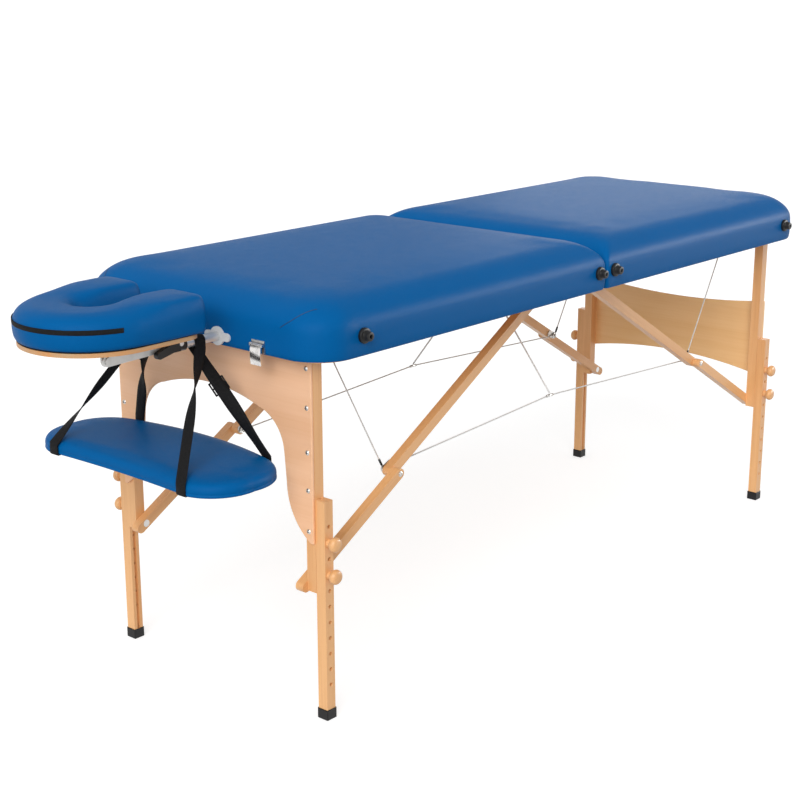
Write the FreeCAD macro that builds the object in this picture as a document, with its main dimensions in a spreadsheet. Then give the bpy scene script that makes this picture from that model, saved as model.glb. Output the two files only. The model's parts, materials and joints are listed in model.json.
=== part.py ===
"""Folding massage table: two padded halves on a centre hinge, wooden legs with folding
braces, adjustable lower legs, a plug-in face cradle and a hanging arm shelf.

The table stands on the floor (z = 0), +X runs from the head end to the foot end, and the
near side is -Y. Pieces are drawn with the centre hinge at x = 0 and every finished piece
is then shifted along X, so that the whole table is centred on the origin.
"""
import FreeCAD
import Part
import math
import os
import re
from types import SimpleNamespace
from FreeCAD import Placement, Rotation, Vector

SIZES = {
    # padded halves
    "half_length": 920.0,
    "table_width": 700.0,
    "underside": 737.0,
    "rail_height": 60.0,
    "rail_thick": 12.0,
    "cross_rail_thick": 18.0,
    "rail_setback": 6.0,
    "side_rail_start": 12.0,
    "deck_thick": 4.0,
    "pad_thick": 49.0,
    "pad_edge": 78.0,
    "pad_tuck": 2.5,
    "skirt_thick": 4.0,
    "corner_radius": 80.0,
    "butt_radius": 8.0,
    "butt_gap": 1.5,
    # centre hinge
    "hinge_drop": 0.5,
    "hinge_side_inset": 150.0,
    "hinge_width": 60.0,
    "leaf_height": 33.0,
    "leaf_thick": 2.0,
    "barrel_radius": 4.5,
    "hinge_pin_radius": 2.0,
    "barrel_gap": 0.3,
    # legs
    "leg_end_inset": 60.0,
    "leg_side_inset": 43.7,
    "leg_section": 24.0,
    "lower_leg_width": 23.0,
    "lane_gap": 0.3,
    "leg_pivot_rise": 28.0,
    "upper_leg_bottom": 265.0,
    "lower_leg_top": 457.0,
    "first_hole": 75.0,
    "hole_pitch": 33.0,
    "hole_radius": 4.0,
    "groove_width": 8.0,
    "groove_depth": 6.0,
    "cap_height": 22.0,
    "cap_floor": 5.0,
    "cap_wall": 2.0,
    "pivot_bolt_radius": 4.0,
    "bolt_head_radius": 8.0,
    "bolt_head_height": 4.6,
    "running_gap": 0.05,
    "block_length": 40.0,
    "block_side_inset": 32.0,
    "block_drop": 56.0,
    # turned knobs
    "knob_length": 25.0,
    "knob_radius": 15.0,
    "knob_neck": 9.0,
    # end panels
    "panel_thick": 6.0,
    "panel_gap": 7.0,
    "panel_height": 363.0,
    "arch_crown_drop": 89.0,
    "arch_shoulder_drop": 113.0,
    "arch_shoulder_inset": 143.0,
    "arch_bend_drop": 143.0,
    "arch_bend_inset": 94.0,
    "arch_side_drop": 193.0,
    "arch_side_inset": 75.0,
    "arch_flare_drop": 250.0,
    "arch_flare_inset": 70.0,
    "arch_flare_bend_drop": 320.0,
    "arch_flare_bend_inset": 50.0,
    "arch_toe_inset": 7.0,
    "foot_panel_top": 558.0,
    "foot_panel_dip": 537.0,
    "foot_panel_bottom": 348.0,
    "foot_panel_rise": 378.0,
    "screw_radius": 5.0,
    "screw_height": 2.6,
    # folding braces
    "brace_depth": 22.0,
    "brace_width": 20.0,
    "brace_leg_z": 280.0,
    "brace_root": 50.0,
    "brace_root_rise": 14.0,
    "brace_tail": 16.0,
    "brace_fold_tilt": 3.0,
    "hook_thick": 4.0,
    "hook_radius": 9.0,
    "hook_lift": 2.0,
    # stay cables
    "cable_radius": 1.5,
    "cable_gap": 7.4,
    "crimp_z": 468.0,
    "crimp_radius": 3.2,
    "crimp_length": 22.0,
    "cable_end_inset": 120.0,
    "cord_radius": 2.0,
    # fittings on the edges
    "bumper_height": 16.0,
    "bumper_base": 17.0,
    "bumper_tip": 11.0,
    "bumper_rise": 41.0,
    "head_bumper_inset": 115.0,
    "centre_bumper": 30.0,
    "foot_bumper_inset": 97.0,
    "handle_half": 95.0,
    "handle_flat": 24.0,
    "handle_band": 28.0,
    "handle_thick": 3.0,
    "latch_side_inset": 160.0,
    "latch_width": 28.0,
    "latch_plate": 3.0,
    "latch_low": 4.0,
    "latch_height": 24.0,
    "latch_pivot_rise": 20.0,
    "latch_pivot_out": 6.5,
    "latch_hang": 19.0,
    "latch_lever_thick": 2.6,
    "latch_pin_radius": 1.4,
    "latch_ear": 3.0,
    # face cradle
    "rod_y": 78.0,
    "rod_rise": 19.0,
    "rod_radius": 9.0,
    "rod_inside": 70.0,
    "bush_radius": 12.0,
    "bush_length": 60.0,
    "flange_radius": 18.5,
    "flange_thick": 4.0,
    "ear_offset": 27.0,
    "ear_radius": 8.0,
    "shaft_reach": 115.0,
    "shaft_rise": 10.0,
    "shaft_radius": 5.0,
    "clamp_radius": 11.0,
    "clamp_reach": 88.0,
    "clamp_width": 24.0,
    "socket_radius": 12.0,
    "arm_thick": 4.0,
    "arm_height": 22.0,
    "rivet_reach": 278.0,
    "rivet_rise": 6.0,
    "rivet_radius": 4.0,
    "rivet_head": 7.0,
    "plate_thick": 2.0,
    "plate_front_reach": 291.0,
    "plate_back_reach": 195.0,
    "plate_width": 33.0,
    "base_rise": 22.0,
    "base_thick": 8.0,
    "base_inset": 7.0,
    "cushion_reach": 380.0,
    "cushion_outer": 145.0,
    "cushion_inner": 46.0,
    "cushion_bay_reach": 224.0,
    "cushion_tail_reach": 80.0,
    "cushion_tail_radius": 34.0,
    "cushion_thick": 74.0,
    "lever_length": 54.0,
    "lever_droop": 15.0,
    "lever_hub": 9.5,
    "lever_tip": 7.0,
    "lever_thick": 11.0,
    # arm shelf
    "shelf_front_reach": 202.0,
    "shelf_waist_reach": 194.0,
    "shelf_back_tuck": 33.0,
    "shelf_back_end_tuck": 6.0,
    "shelf_shoulder": 205.0,
    "shelf_tip": 275.0,
    "shelf_tip_reach": 100.0,
    "shelf_hang": 244.0,
    "board_thick": 8.0,
    "shelf_pad_thick": 21.0,
    "strap_reach": 55.0,
    "strap_width": 25.0,
    "strap_thick": 2.0,
    "strap_y": 188.0,
    "strap_slack": 0.3,
    "strap_drop": 12.0,
}
# places that follow from the sizes above, worked out in the same sheet
PLACES = {
    "hinge_spread": "table_width / 2 - hinge_side_inset",
    "leg_distance": "half_length - leg_end_inset",
    "leg_outer": "table_width / 2 - leg_side_inset",
    "block_reach": "table_width / 2 - block_side_inset",
    "cable_anchor": "half_length - cable_end_inset",
    "bumper_z": "underside + bumper_rise",
    "head_bumper": "half_length - head_bumper_inset",
    "foot_bumper": "half_length - foot_bumper_inset",
    "handle_distance": "half_length / 2",
    "latch_y": "table_width / 2 - latch_side_inset",
    "rod_z": "underside + rod_rise",
    "shaft_distance": "half_length + shaft_reach",
    "shaft_z": "rod_z + shaft_rise",
    "clamp_back": "half_length + clamp_reach",
    "rivet_distance": "half_length + rivet_reach",
    "rivet_z": "rod_z + rivet_rise",
    "plate_front": "half_length + plate_front_reach",
    "plate_back": "half_length + plate_back_reach",
    "base_z": "rod_z + base_rise",
    "cushion_front": "half_length + cushion_reach",
    "cushion_bay": "half_length + cushion_bay_reach",
    "cushion_tail": "half_length + cushion_tail_reach",
    "shelf_front": "half_length + shelf_front_reach",
    "shelf_waist": "half_length + shelf_waist_reach",
    "shelf_back": "half_length - shelf_back_tuck",
    "shelf_back_end": "half_length - shelf_back_end_tuck",
    "shelf_tip_x": "half_length + shelf_tip_reach",
    "shelf_bottom": "rod_z - shelf_hang",
    "strap_x": "half_length + strap_reach",
}
HOLES = 11
KNOB_HOLES = {"low": 7, "high": 9}
HEAD_SCREW_DROPS = (15.0, 92.0, 180.0, 256.0, 339.0)
FOOT_SCREWS = (530.0, 453.0, 376.0)
SIDES = {"near": -1, "far": 1}
ACROSS = Vector(0, 1, 0)
ALONG = Vector(1, 0, 0)
UP = Vector(0, 0, 1)

doc = FreeCAD.newDocument("FoldingMassageTable")
sheet = doc.addObject("Spreadsheet::Sheet", "Sizes")
cells = {alias: repr(value) for alias, value in SIZES.items()}
cells.update({alias: "=" + text for alias, text in PLACES.items()})
for row, (alias, content) in enumerate(cells.items(), start=1):
    sheet.set(f"A{row}", alias)
    sheet.set(f"B{row}", content)
    sheet.setAlias(f"B{row}", alias)
doc.recompute()
v = SimpleNamespace(**{alias: float(sheet.get(alias)) for alias in cells})

# heights and lanes that follow from the driving sizes
v.deck_z = v.underside + v.rail_height
v.pad_z = v.deck_z + v.deck_thick
v.pivot_z = v.underside + v.leg_pivot_rise
v.root_z = v.underside + v.brace_root_rise
v.hinge_z = v.underside - v.hinge_drop
v.upper_leg_out = v.leg_outer - v.leg_section - v.lane_gap
v.upper_leg_in = v.upper_leg_out - v.leg_section
v.low_brace_in = v.upper_leg_in - v.lane_gap - v.brace_width
v.top_brace_in = v.low_brace_in - v.lane_gap - v.brace_width
v.cable_lane = v.top_brace_in - v.cable_gap
v.panel_out = v.leg_distance + v.leg_section / 2 + v.panel_thick
v.panel_top = v.underside - v.panel_gap
v.clamp_out = v.rod_y + v.clamp_width / 2
v.arm_in = v.clamp_out + v.lane_gap
v.arm_out = v.arm_in + v.arm_thick
v.cushion_z = v.base_z + v.base_thick
NODES = []


def formula(text):
    """Turn a plain formula of size names into an expression on the sheet."""
    return re.sub(r"[a-z_]+", lambda name: "Sizes." + name.group(0), text)


def shape(name, solid):
    """A piece whose form is worked out from the sizes."""
    piece = doc.addObject("Part::Feature", name)
    piece.Shape = solid
    return piece


def block(name, x, y, z):
    """A box between pairs of formulas."""
    box = doc.addObject("Part::Box", name)
    for side, axis, (low, high) in zip(("Length", "Width", "Height"), "xyz", (x, y, z)):
        box.setExpression(side, formula(f"({high}) - ({low})"))
        box.setExpression(f"Placement.Base.{axis}", formula(low))
    return box


TURNS = {
    "x": Rotation(Vector(0, 1, 0), 90),
    "y": Rotation(Vector(1, 0, 0), -90),
    "z": Rotation(),
}


def rod(name, radius, start, length, axis):
    """A cylinder from a start point along one axis, sizes given as formulas."""
    cylinder = doc.addObject("Part::Cylinder", name)
    cylinder.Placement = Placement(Vector(), TURNS[axis])
    cylinder.setExpression("Radius", formula(radius))
    cylinder.setExpression("Height", formula(length))
    for way, place in zip("xyz", start):
        cylinder.setExpression(f"Placement.Base.{way}", formula(place))
    return cylinder


def group(name, pieces):
    """Several separate solids held together as one object."""
    bundle = doc.addObject("Part::Compound", name)
    bundle.Links = pieces
    return bundle


def fuse(name, pieces):
    """One solid out of several."""
    joined = doc.addObject("Part::MultiFuse", name)
    joined.Shapes = pieces
    return joined


def cut(name, base, tools):
    """A solid less one or more tools."""
    cleared = doc.addObject("Part::Cut", name)
    cleared.Base = base
    cleared.Tool = tools[0] if len(tools) == 1 else group(name + "_tools", tools)
    return cleared


def flip(name, source, normal):
    """The mirror image of a piece in a plane through the centre hinge."""
    image = doc.addObject("Part::Mirroring", name)
    image.Source = source
    image.Base = Vector()
    image.Normal = normal
    return image


def both_sides(name, source):
    """A piece and its image on the other long side."""
    return [source, flip(name + "_other_side", source, ACROSS)]


def foot_copy(name, pieces):
    """The foot half's images of pieces of the head half."""
    return [flip(f"{name}_{i}", piece, ALONG) for i, piece in enumerate(pieces)]


def node(label, pieces):
    """A finished sub-part, shifted so that the whole table is centred on the origin."""
    finished = group("node_" + label, pieces)
    finished.Label = label
    finished.setExpression(
        "Placement.Base.x", formula("(cushion_front - half_length - latch_plate) / 2"))
    NODES.append(finished)


def arc(start, middle, end):
    """An arc edge through three points."""
    return Part.Arc(start, middle, end).toShape()


def line(start, end):
    """A straight edge."""
    return Part.makeLine(start, end)


def slab(edges, along):
    """The solid swept by a closed outline along a vector."""
    return Part.Face(Part.Wire(edges)).extrude(along)


def pin_solid(radius, start, end):
    """A cylinder between two points."""
    return Part.makeCylinder(radius, (end - start).Length, start, end - start)


def quarter(centre, radius, start_deg):
    """Start, middle and end of a level quarter arc, counter-clockwise from a start angle."""
    points = []
    for step in range(3):
        turn = math.radians(start_deg + 45 * step)
        points.append(centre + Vector(radius * math.cos(turn), radius * math.sin(turn), 0))
    return points


def half_outline(inset, z):
    """The plan of the head half at a height: wide curves outside, tight ones at the hinge."""
    left = -v.half_length + inset
    right = -v.butt_gap - inset
    side = v.table_width / 2 - inset
    wide = max(v.corner_radius - inset, 2.0)
    tight = max(v.butt_radius - inset, 2.0)
    corners = [
        quarter(Vector(right - tight, side - tight, z), tight, 0),
        quarter(Vector(left + wide, side - wide, z), wide, 90),
        quarter(Vector(left + wide, wide - side, z), wide, 180),
        quarter(Vector(right - tight, tight - side, z), tight, 270),
    ]
    edges = []
    for i, corner in enumerate(corners):
        edges.append(arc(*corner))
        edges.append(line(corner[2], corners[(i + 1) % 4][0]))
    return Part.Wire(edges)


def horseshoe(inset, z):
    """The plan of the face cushion at a height: a horseshoe open towards the table."""
    outer = v.cushion_outer - inset
    inner = v.cushion_inner + inset
    nose = v.cushion_outer - v.cushion_front
    bay = -v.cushion_bay
    end = min(v.cushion_tail_radius, (outer - inner) / 2 - v.strap_thick)
    tail = -v.cushion_tail - inset - end
    slant = math.sqrt(0.5)
    turn_out = outer - end
    turn_in = inner + end

    def at(x, y):
        return Vector(x, y, z)

    edges = [
        arc(at(nose, outer), at(nose - outer * slant, outer * slant), at(nose - outer, 0)),
        arc(at(nose - outer, 0), at(nose - outer * slant, -outer * slant), at(nose, -outer)),
        line(at(nose, -outer), at(tail, -outer)),
        arc(at(tail, -outer), at(tail + end * slant, -turn_out - end * slant), at(tail + end, -turn_out)),
        line(at(tail + end, -turn_out), at(tail + end, -turn_in)),
        arc(at(tail + end, -turn_in), at(tail + end * slant, end * slant - turn_in), at(tail, -inner)),
        line(at(tail, -inner), at(bay, -inner)),
        arc(at(bay, -inner), at(bay - inner * slant, -inner * slant), at(bay - inner, 0)),
        arc(at(bay - inner, 0), at(bay - inner * slant, inner * slant), at(bay, inner)),
        line(at(bay, inner), at(tail, inner)),
        arc(at(tail, inner), at(tail + end * slant, turn_in - end * slant), at(tail + end, turn_in)),
        line(at(tail + end, turn_in), at(tail + end, turn_out)),
        arc(at(tail + end, turn_out), at(tail + end * slant, turn_out + end * slant), at(tail, outer)),
        line(at(tail, outer), at(nose, outer)),
    ]
    return Part.Wire(edges)


def shelf_outline(inset, z):
    """The plan of the arm shelf: a bowed back edge, round ends and a hollow front edge."""
    front = -v.shelf_front + inset
    back_end = -v.shelf_back_end - inset
    shoulder = v.shelf_shoulder
    tip = v.shelf_tip - inset
    tip_x = -v.shelf_tip_x
    turn = shoulder + (tip - shoulder) * math.sqrt(0.5)

    def at(x, y):
        return Vector(x, y, z)

    def between(x):
        return tip_x + (x - tip_x) * math.sqrt(0.5)

    edges = [
        arc(at(back_end, -shoulder), at(-v.shelf_back - inset, 0), at(back_end, shoulder)),
        arc(at(back_end, shoulder), at(between(back_end), turn), at(tip_x, tip)),
        arc(at(tip_x, tip), at(between(front), turn), at(front, shoulder)),
        arc(at(front, shoulder), at(-v.shelf_waist + inset, 0), at(front, -shoulder)),
        arc(at(front, -shoulder), at(between(front), -turn), at(tip_x, -tip)),
        arc(at(tip_x, -tip), at(between(back_end), -turn), at(back_end, -shoulder)),
    ]
    return Part.Wire(edges)


def bow_x(end_x, middle_x, half, y):
    """Where a shallow arc across the shelf stands at a distance from the middle."""
    sag = abs(middle_x - end_x)
    radius = (half ** 2 + sag ** 2) / (2 * sag)
    drop = radius - math.sqrt(radius ** 2 - y ** 2)
    return middle_x + math.copysign(drop, end_x - middle_x)


def padded(outline, z, steps):
    """A padded form: one outline lofted through heights, each with its own inset."""
    return Part.makeLoft([outline(inset, z + rise) for rise, inset in steps], True, True)


def bar(start, end, start_radius, end_radius, y, width):
    """A flat bar with round ends between two points of an upright X-Z plane."""
    way = (end - start).normalize()
    square = Vector(-way.z, 0, way.x)
    lift = ACROSS * y
    edges = [
        line(start + square * start_radius + lift, end + square * end_radius + lift),
        arc(end + square * end_radius + lift, end + way * end_radius + lift,
            end - square * end_radius + lift),
        line(end - square * end_radius + lift, start - square * start_radius + lift),
        arc(start - square * start_radius + lift, start - way * start_radius + lift,
            start + square * start_radius + lift),
    ]
    return slab(edges, ACROSS * width)


def outline_edges(points):
    """Edges of a closed outline; a point marked True is the middle of an arc."""
    edges = []
    ring = points + points[:1]
    for i, (start, is_middle) in enumerate(ring[:-1]):
        if is_middle:
            continue
        following, bends = ring[i + 1]
        if bends:
            edges.append(arc(start, following, ring[i + 2][0]))
        else:
            edges.append(line(start, following))
    return edges


# padded halves: pad, vinyl skirt, plywood deck and rails with bent corners
PAD_STEPS = [
    (0.0, v.pad_tuck),
    (v.pad_thick * 0.24, v.pad_edge * 0.1),
    (v.pad_thick * 0.49, v.pad_edge * 0.23),
    (v.pad_thick * 0.73, v.pad_edge * 0.42),
    (v.pad_thick * 0.88, v.pad_edge * 0.6),
    (v.pad_thick * 0.96, v.pad_edge * 0.77),
    (v.pad_thick, v.pad_edge),
]
wrap_height = UP * (v.pad_z - v.underside)
SKIRT_STEPS = [
    (0.0, v.pad_tuck),
    (wrap_height.Length * 0.15, v.pad_tuck * 0.2),
    (wrap_height.Length * 0.3, 0.0),
    (wrap_height.Length * 0.62, 0.0),
    (wrap_height.Length * 0.82, v.pad_tuck * 0.3),
    (wrap_height.Length, v.pad_tuck),
]
pad = shape("pad", padded(half_outline, v.pad_z, PAD_STEPS))
deck = shape("deck", Part.Face(half_outline(v.skirt_thick, v.deck_z)).extrude(UP * v.deck_thick))
skirt_whole = padded(half_outline, v.underside, SKIRT_STEPS)
skirt_space = Part.Face(half_outline(v.skirt_thick, v.underside)).extrude(wrap_height)
butt_opening = Part.makeBox(v.side_rail_start, v.table_width, wrap_height.Length,
                            Vector(-v.side_rail_start, -v.table_width / 2, v.underside))
plain_skirt_solid = skirt_whole.cut(skirt_space).cut(butt_opening)
skirt_solid = plain_skirt_solid
for side in SIDES.values():
    mouth = Vector(-v.half_length, side * v.rod_y, v.rod_z)
    skirt_solid = skirt_solid.cut(
        pin_solid(v.bush_radius + v.running_gap, mouth, mouth + ALONG * v.skirt_thick))
skirt = shape("skirt", skirt_solid)
plain_skirt = shape("plain_skirt", plain_skirt_solid)

RAIL_Z = ("underside", "underside + rail_height")
side_rail = block(
    "side_rail", ("corner_radius - half_length", "-side_rail_start"),
    ("table_width / 2 - skirt_thick - rail_thick", "table_width / 2 - skirt_thick"), RAIL_Z)
plain_end_rail = block(
    "plain_end_rail", ("skirt_thick - half_length", "skirt_thick + cross_rail_thick - half_length"),
    ("corner_radius - table_width / 2", "table_width / 2 - corner_radius"), RAIL_Z)
bush_holes = [
    rod(f"bush_hole_{name}", "bush_radius + running_gap",
        ("-half_length", f"{side} * rod_y", "rod_z"), "skirt_thick + cross_rail_thick", "x")
    for name, side in SIDES.items()]
end_rail = cut("end_rail", plain_end_rail, bush_holes)
centre_rail = block(
    "centre_rail", ("-rail_setback - cross_rail_thick", "-rail_setback"),
    ("skirt_thick + rail_thick - table_width / 2", "table_width / 2 - skirt_thick - rail_thick"),
    RAIL_Z)
bend = v.corner_radius - v.skirt_thick
bend_centre = Vector(v.corner_radius - v.half_length, v.table_width / 2 - v.corner_radius, v.underside)
corner_ring = Part.makeCylinder(bend, v.rail_height, bend_centre, UP, 90)
corner_ring = corner_ring.cut(Part.makeCylinder(bend - v.rail_thick, v.rail_height, bend_centre, UP, 90))
corner_ring.rotate(bend_centre, UP, 90)
corner_block = shape("corner_block", corner_ring)
shared_rails = both_sides("side_rail", side_rail) + both_sides("corner_block", corner_block)
shared_rails += [centre_rail]

node("head_pad", [pad])
node("head_skirt", [skirt])
node("head_deck", [deck])
node("head_rails", shared_rails + [end_rail])
node("foot_pad", foot_copy("foot_pad", [pad]))
node("foot_skirt", foot_copy("foot_skirt", [plain_skirt]))
node("foot_deck", foot_copy("foot_deck", [deck]))
node("foot_rails", foot_copy("foot_rails", shared_rails + [plain_end_rail]))

# blocks and bolts in the trays, which carry the legs and the upper braces
BLOCK_Z = ("underside + rail_height - block_drop", "underside + rail_height")
PIVOT_Z = "underside + leg_pivot_rise"
ROOT_Z = "underside + brace_root_rise"
LOWER_LEG_IN = "leg_outer - leg_section"
UPPER_LEG_IN = "leg_outer - 2 * leg_section - lane_gap"
LOW_BRACE_IN = f"{UPPER_LEG_IN} - lane_gap - brace_width"
TOP_BRACE_IN = f"{UPPER_LEG_IN} - 2 * lane_gap - 2 * brace_width"


def pivot_block(name, distance, y, bolt_z):
    """A glued block under the deck, drilled for a pivot bolt."""
    solid = block(name + "_solid", (f"-{distance} - block_length / 2", f"-{distance} + block_length / 2"),
                  y, BLOCK_Z)
    drilling = rod(name + "_drilling", "pivot_bolt_radius", (f"-{distance}", y[0], bolt_z),
                   f"({y[1]}) - ({y[0]})", "y")
    return cut(name, solid, [drilling])


def pivot_bolt(name, distance, head_face, end, bolt_z):
    """A bolt along Y whose head lies on the inner side of what it carries."""
    shank = rod(name + "_shank", "pivot_bolt_radius", (f"-{distance}", head_face, bolt_z),
                f"({end}) - ({head_face})", "y")
    head = rod(name + "_head", "bolt_head_radius",
               (f"-{distance}", f"{head_face} - bolt_head_height", bolt_z), "bolt_head_height", "y")
    return fuse(name, [shank, head])


leg_block = pivot_block("leg_block", "leg_distance", (LOWER_LEG_IN, "block_reach"), PIVOT_Z)
brace_block = pivot_block("brace_block", "brace_root", (LOW_BRACE_IN, UPPER_LEG_IN), ROOT_Z)
blocks = both_sides("leg_block", leg_block) + both_sides("brace_block", brace_block)
node("head_pivot_blocks", blocks)
node("foot_pivot_blocks", foot_copy("foot_pivot_blocks", blocks))
leg_bolt = pivot_bolt("leg_bolt", "leg_distance", f"{UPPER_LEG_IN} - lane_gap", "block_reach", PIVOT_Z)
brace_bolt = pivot_bolt("brace_bolt", "brace_root", f"{TOP_BRACE_IN} - lane_gap", UPPER_LEG_IN, ROOT_Z)
bolts = both_sides("leg_bolt", leg_bolt) + both_sides("brace_bolt", brace_bolt)

# centre hinge: two leaves a side, whose barrels interlock on loose pins
HINGE_Z = "underside - hinge_drop"
LEAF_LOW = f"{HINGE_Z} + barrel_radius + barrel_gap"


def hinge_leaf(name, middle, starts):
    """One leaf on the head half's butt face; starts are its barrels, in thirds of the width."""
    pieces = [block(f"{name}_plate", ("-rail_setback", "leaf_thick - rail_setback"),
                    (f"{middle} - hinge_width / 2", f"{middle} + hinge_width / 2"),
                    (LEAF_LOW, f"{LEAF_LOW} + leaf_height"))]
    for i, start in enumerate(starts):
        low = f"{middle} + {start} * hinge_width / 3 + barrel_gap"
        high = f"{middle} + {start + 1} * hinge_width / 3 - barrel_gap"
        pieces.append(rod(f"{name}_barrel_{i}", "barrel_radius", ("0", low, HINGE_Z),
                          "hinge_width / 3 - 2 * barrel_gap", "y"))
        pieces.append(block(f"{name}_web_{i}", ("-rail_setback", "leaf_thick - rail_setback"),
                            (low, high), (HINGE_Z, LEAF_LOW)))
    bore = rod(f"{name}_bore", "hinge_pin_radius + running_gap",
               ("0", f"{middle} - hinge_width / 2", HINGE_Z), "hinge_width", "y")
    return cut(name, fuse(f"{name}_solid", pieces), [bore])


head_leaf = hinge_leaf("head_leaf", "hinge_spread", (-1.5, 0.5))
foot_leaf = hinge_leaf("foot_leaf", "hinge_spread", (-0.5,))
hinge_pin = rod("hinge_pin", "hinge_pin_radius", ("0", "hinge_spread - hinge_width / 2", HINGE_Z),
                "hinge_width", "y")
node("hinge_pins", both_sides("hinge_pin", hinge_pin))

# latches: plate with two ears and a swinging lever at the head end, a catch at the foot end
LATCH_Z = ("underside + latch_low", "underside + latch_low + latch_height")
LATCH_Y = ("latch_y - latch_width / 2", "latch_y + latch_width / 2")
LATCH_PIVOT = ("-half_length - latch_pivot_out", "underside + latch_pivot_rise")
latch_back = block("latch_back", ("-half_length - latch_plate", "-half_length"),
                   ("latch_y - latch_width / 2 - latch_ear", "latch_y + latch_width / 2 + latch_ear"),
                   LATCH_Z)
latch_ears = []
for name, low, high in (
        ("inner", f"{LATCH_Y[0]} - latch_ear", f"{LATCH_Y[0]} - lane_gap"),
        ("outer", f"{LATCH_Y[1]} + lane_gap", f"{LATCH_Y[1]} + latch_ear")):
    latch_ears.append(block(f"latch_ear_{name}",
                            (f"{LATCH_PIVOT[0]} - latch_plate", "-half_length - latch_plate"), (low, high),
                            (f"{LATCH_PIVOT[1]} - latch_plate", f"{LATCH_PIVOT[1]} + latch_plate")))
latch_bore = rod("latch_bore", "latch_pin_radius + running_gap",
                 (LATCH_PIVOT[0], f"{LATCH_Y[0]} - latch_ear", LATCH_PIVOT[1]),
                 "latch_width + 2 * latch_ear", "y")
latch_plate = cut("latch_plate_cut", fuse("latch_plate_solid", [latch_back] + latch_ears), [latch_bore])
node("head_hardware", both_sides("head_leaf", head_leaf) + bolts + both_sides("latch_plate", latch_plate))
catch_back = block("catch_back", ("-half_length - latch_plate", "-half_length"), LATCH_Y, LATCH_Z)
foot_fittings = both_sides("foot_leaf", foot_leaf) + both_sides("catch_back", catch_back)
node("foot_hardware", foot_copy("foot_fittings", foot_fittings) + foot_copy("foot_bolts", bolts))


def latch_lever():
    """The far latch's lever: a plate bowed outwards, rolled round its pin at the top."""
    x = -v.half_length - v.latch_pivot_out
    z = v.underside + v.latch_pivot_rise
    low = v.underside - v.latch_hang
    thick = v.latch_lever_thick
    y = v.latch_y - v.latch_width / 2
    roll = v.latch_pin_radius + thick * 0.5

    def at(out, height):
        return Vector(x - out, y, height)

    mid = (low + z) / 2
    blade = slab([
        line(at(0, z), at(0, low)),
        line(at(0, low), at(thick, low)),
        arc(at(thick, low), at(thick * 1.7, mid), at(thick, z)),
        line(at(thick, z), at(0, z)),
    ], ACROSS * v.latch_width)
    barrel = pin_solid(roll, Vector(x, y, z), Vector(x, y + v.latch_width, z))
    pin = pin_solid(v.latch_pin_radius, Vector(x, y - v.latch_ear, z),
                    Vector(x, y + v.latch_width + v.latch_ear, z))
    return blade.fuse(barrel).fuse(pin)


far_lever = shape("far_lever", latch_lever())
node("latch_lever_far", [far_lever])
node("latch_lever_near", [flip("near_lever", far_lever, ACROSS)])

# upper legs, with the end panels on their outer faces
LEG_X = ("-leg_distance - leg_section / 2", "-leg_distance + leg_section / 2")
leg_stick = block("leg_stick", LEG_X, (UPPER_LEG_IN, f"{UPPER_LEG_IN} + leg_section"),
                  ("upper_leg_bottom", PIVOT_Z))
leg_crown = rod("leg_crown", "leg_section / 2", ("-leg_distance", UPPER_LEG_IN, PIVOT_Z),
                "leg_section", "y")
leg_pivot_hole = rod("leg_pivot_hole", "pivot_bolt_radius + running_gap",
                     ("-leg_distance", UPPER_LEG_IN, PIVOT_Z), "leg_section", "y")
low_brace_hole = rod("low_brace_hole", "pivot_bolt_radius",
                     ("-leg_distance", UPPER_LEG_IN, "brace_leg_z"), "leg_section / 2", "y")
upper_leg = cut("upper_leg", fuse("leg_solid", [leg_stick, leg_crown]), [leg_pivot_hole, low_brace_hole])
upper_legs = both_sides("upper_leg", upper_leg)
node("head_upper_legs", upper_legs)
node("foot_upper_legs", foot_copy("foot_upper_legs", upper_legs))


def panel_point(y, z):
    """A point on the outer face of an end panel."""
    return Vector(-v.panel_out, y, z)


def head_panel_solid():
    """Plywood arch between the head legs."""
    half = v.upper_leg_out
    top = v.panel_top

    def side_run(sign):
        run = [
            (0.0, v.panel_height, False),
            (v.arch_toe_inset, v.panel_height, False),
            (v.arch_flare_bend_inset, v.arch_flare_bend_drop, True),
            (v.arch_flare_inset, v.arch_flare_drop, False),
            (v.arch_side_inset, v.arch_side_drop, False),
            (v.arch_bend_inset, v.arch_bend_drop, True),
            (v.arch_shoulder_inset, v.arch_shoulder_drop, False),
        ]
        return [(panel_point(sign * (half - inset), top - drop), bends) for inset, drop, bends in run]

    outline = side_run(1)
    outline.append((panel_point(0, top - v.arch_crown_drop), True))
    outline += reversed(side_run(-1))
    outline.append((panel_point(-half, top), False))
    outline.append((panel_point(half, top), False))
    return slab(outline_edges(outline), ALONG * v.panel_thick)


def foot_panel_solid():
    """Plywood band between the foot legs, drawn at the head end."""
    half = v.upper_leg_out
    outline = [
        (panel_point(half, v.foot_panel_top), False),
        (panel_point(0, v.foot_panel_dip), True),
        (panel_point(-half, v.foot_panel_top), False),
        (panel_point(-half, v.foot_panel_bottom), False),
        (panel_point(0, v.foot_panel_rise), True),
        (panel_point(half, v.foot_panel_bottom), False),
    ]
    return slab(outline_edges(outline), ALONG * v.panel_thick)


def screw_heads(name, heights):
    """Domed screw heads down the middle of the leg behind a panel."""
    heads = []
    ball = (v.screw_radius ** 2 + v.screw_height ** 2) / (2 * v.screw_height)
    for i, z in enumerate(heights):
        for side_name, side in SIDES.items():
            seat = panel_point(side * (v.upper_leg_out - v.leg_section / 2), z)
            dome = Part.makeSphere(ball, seat + ALONG * (ball - v.screw_height))
            keep = pin_solid(v.screw_radius, seat, seat - ALONG * v.screw_height)
            heads.append(shape(f"{name}_{i}_{side_name}", dome.common(keep)))
    return heads


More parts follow.
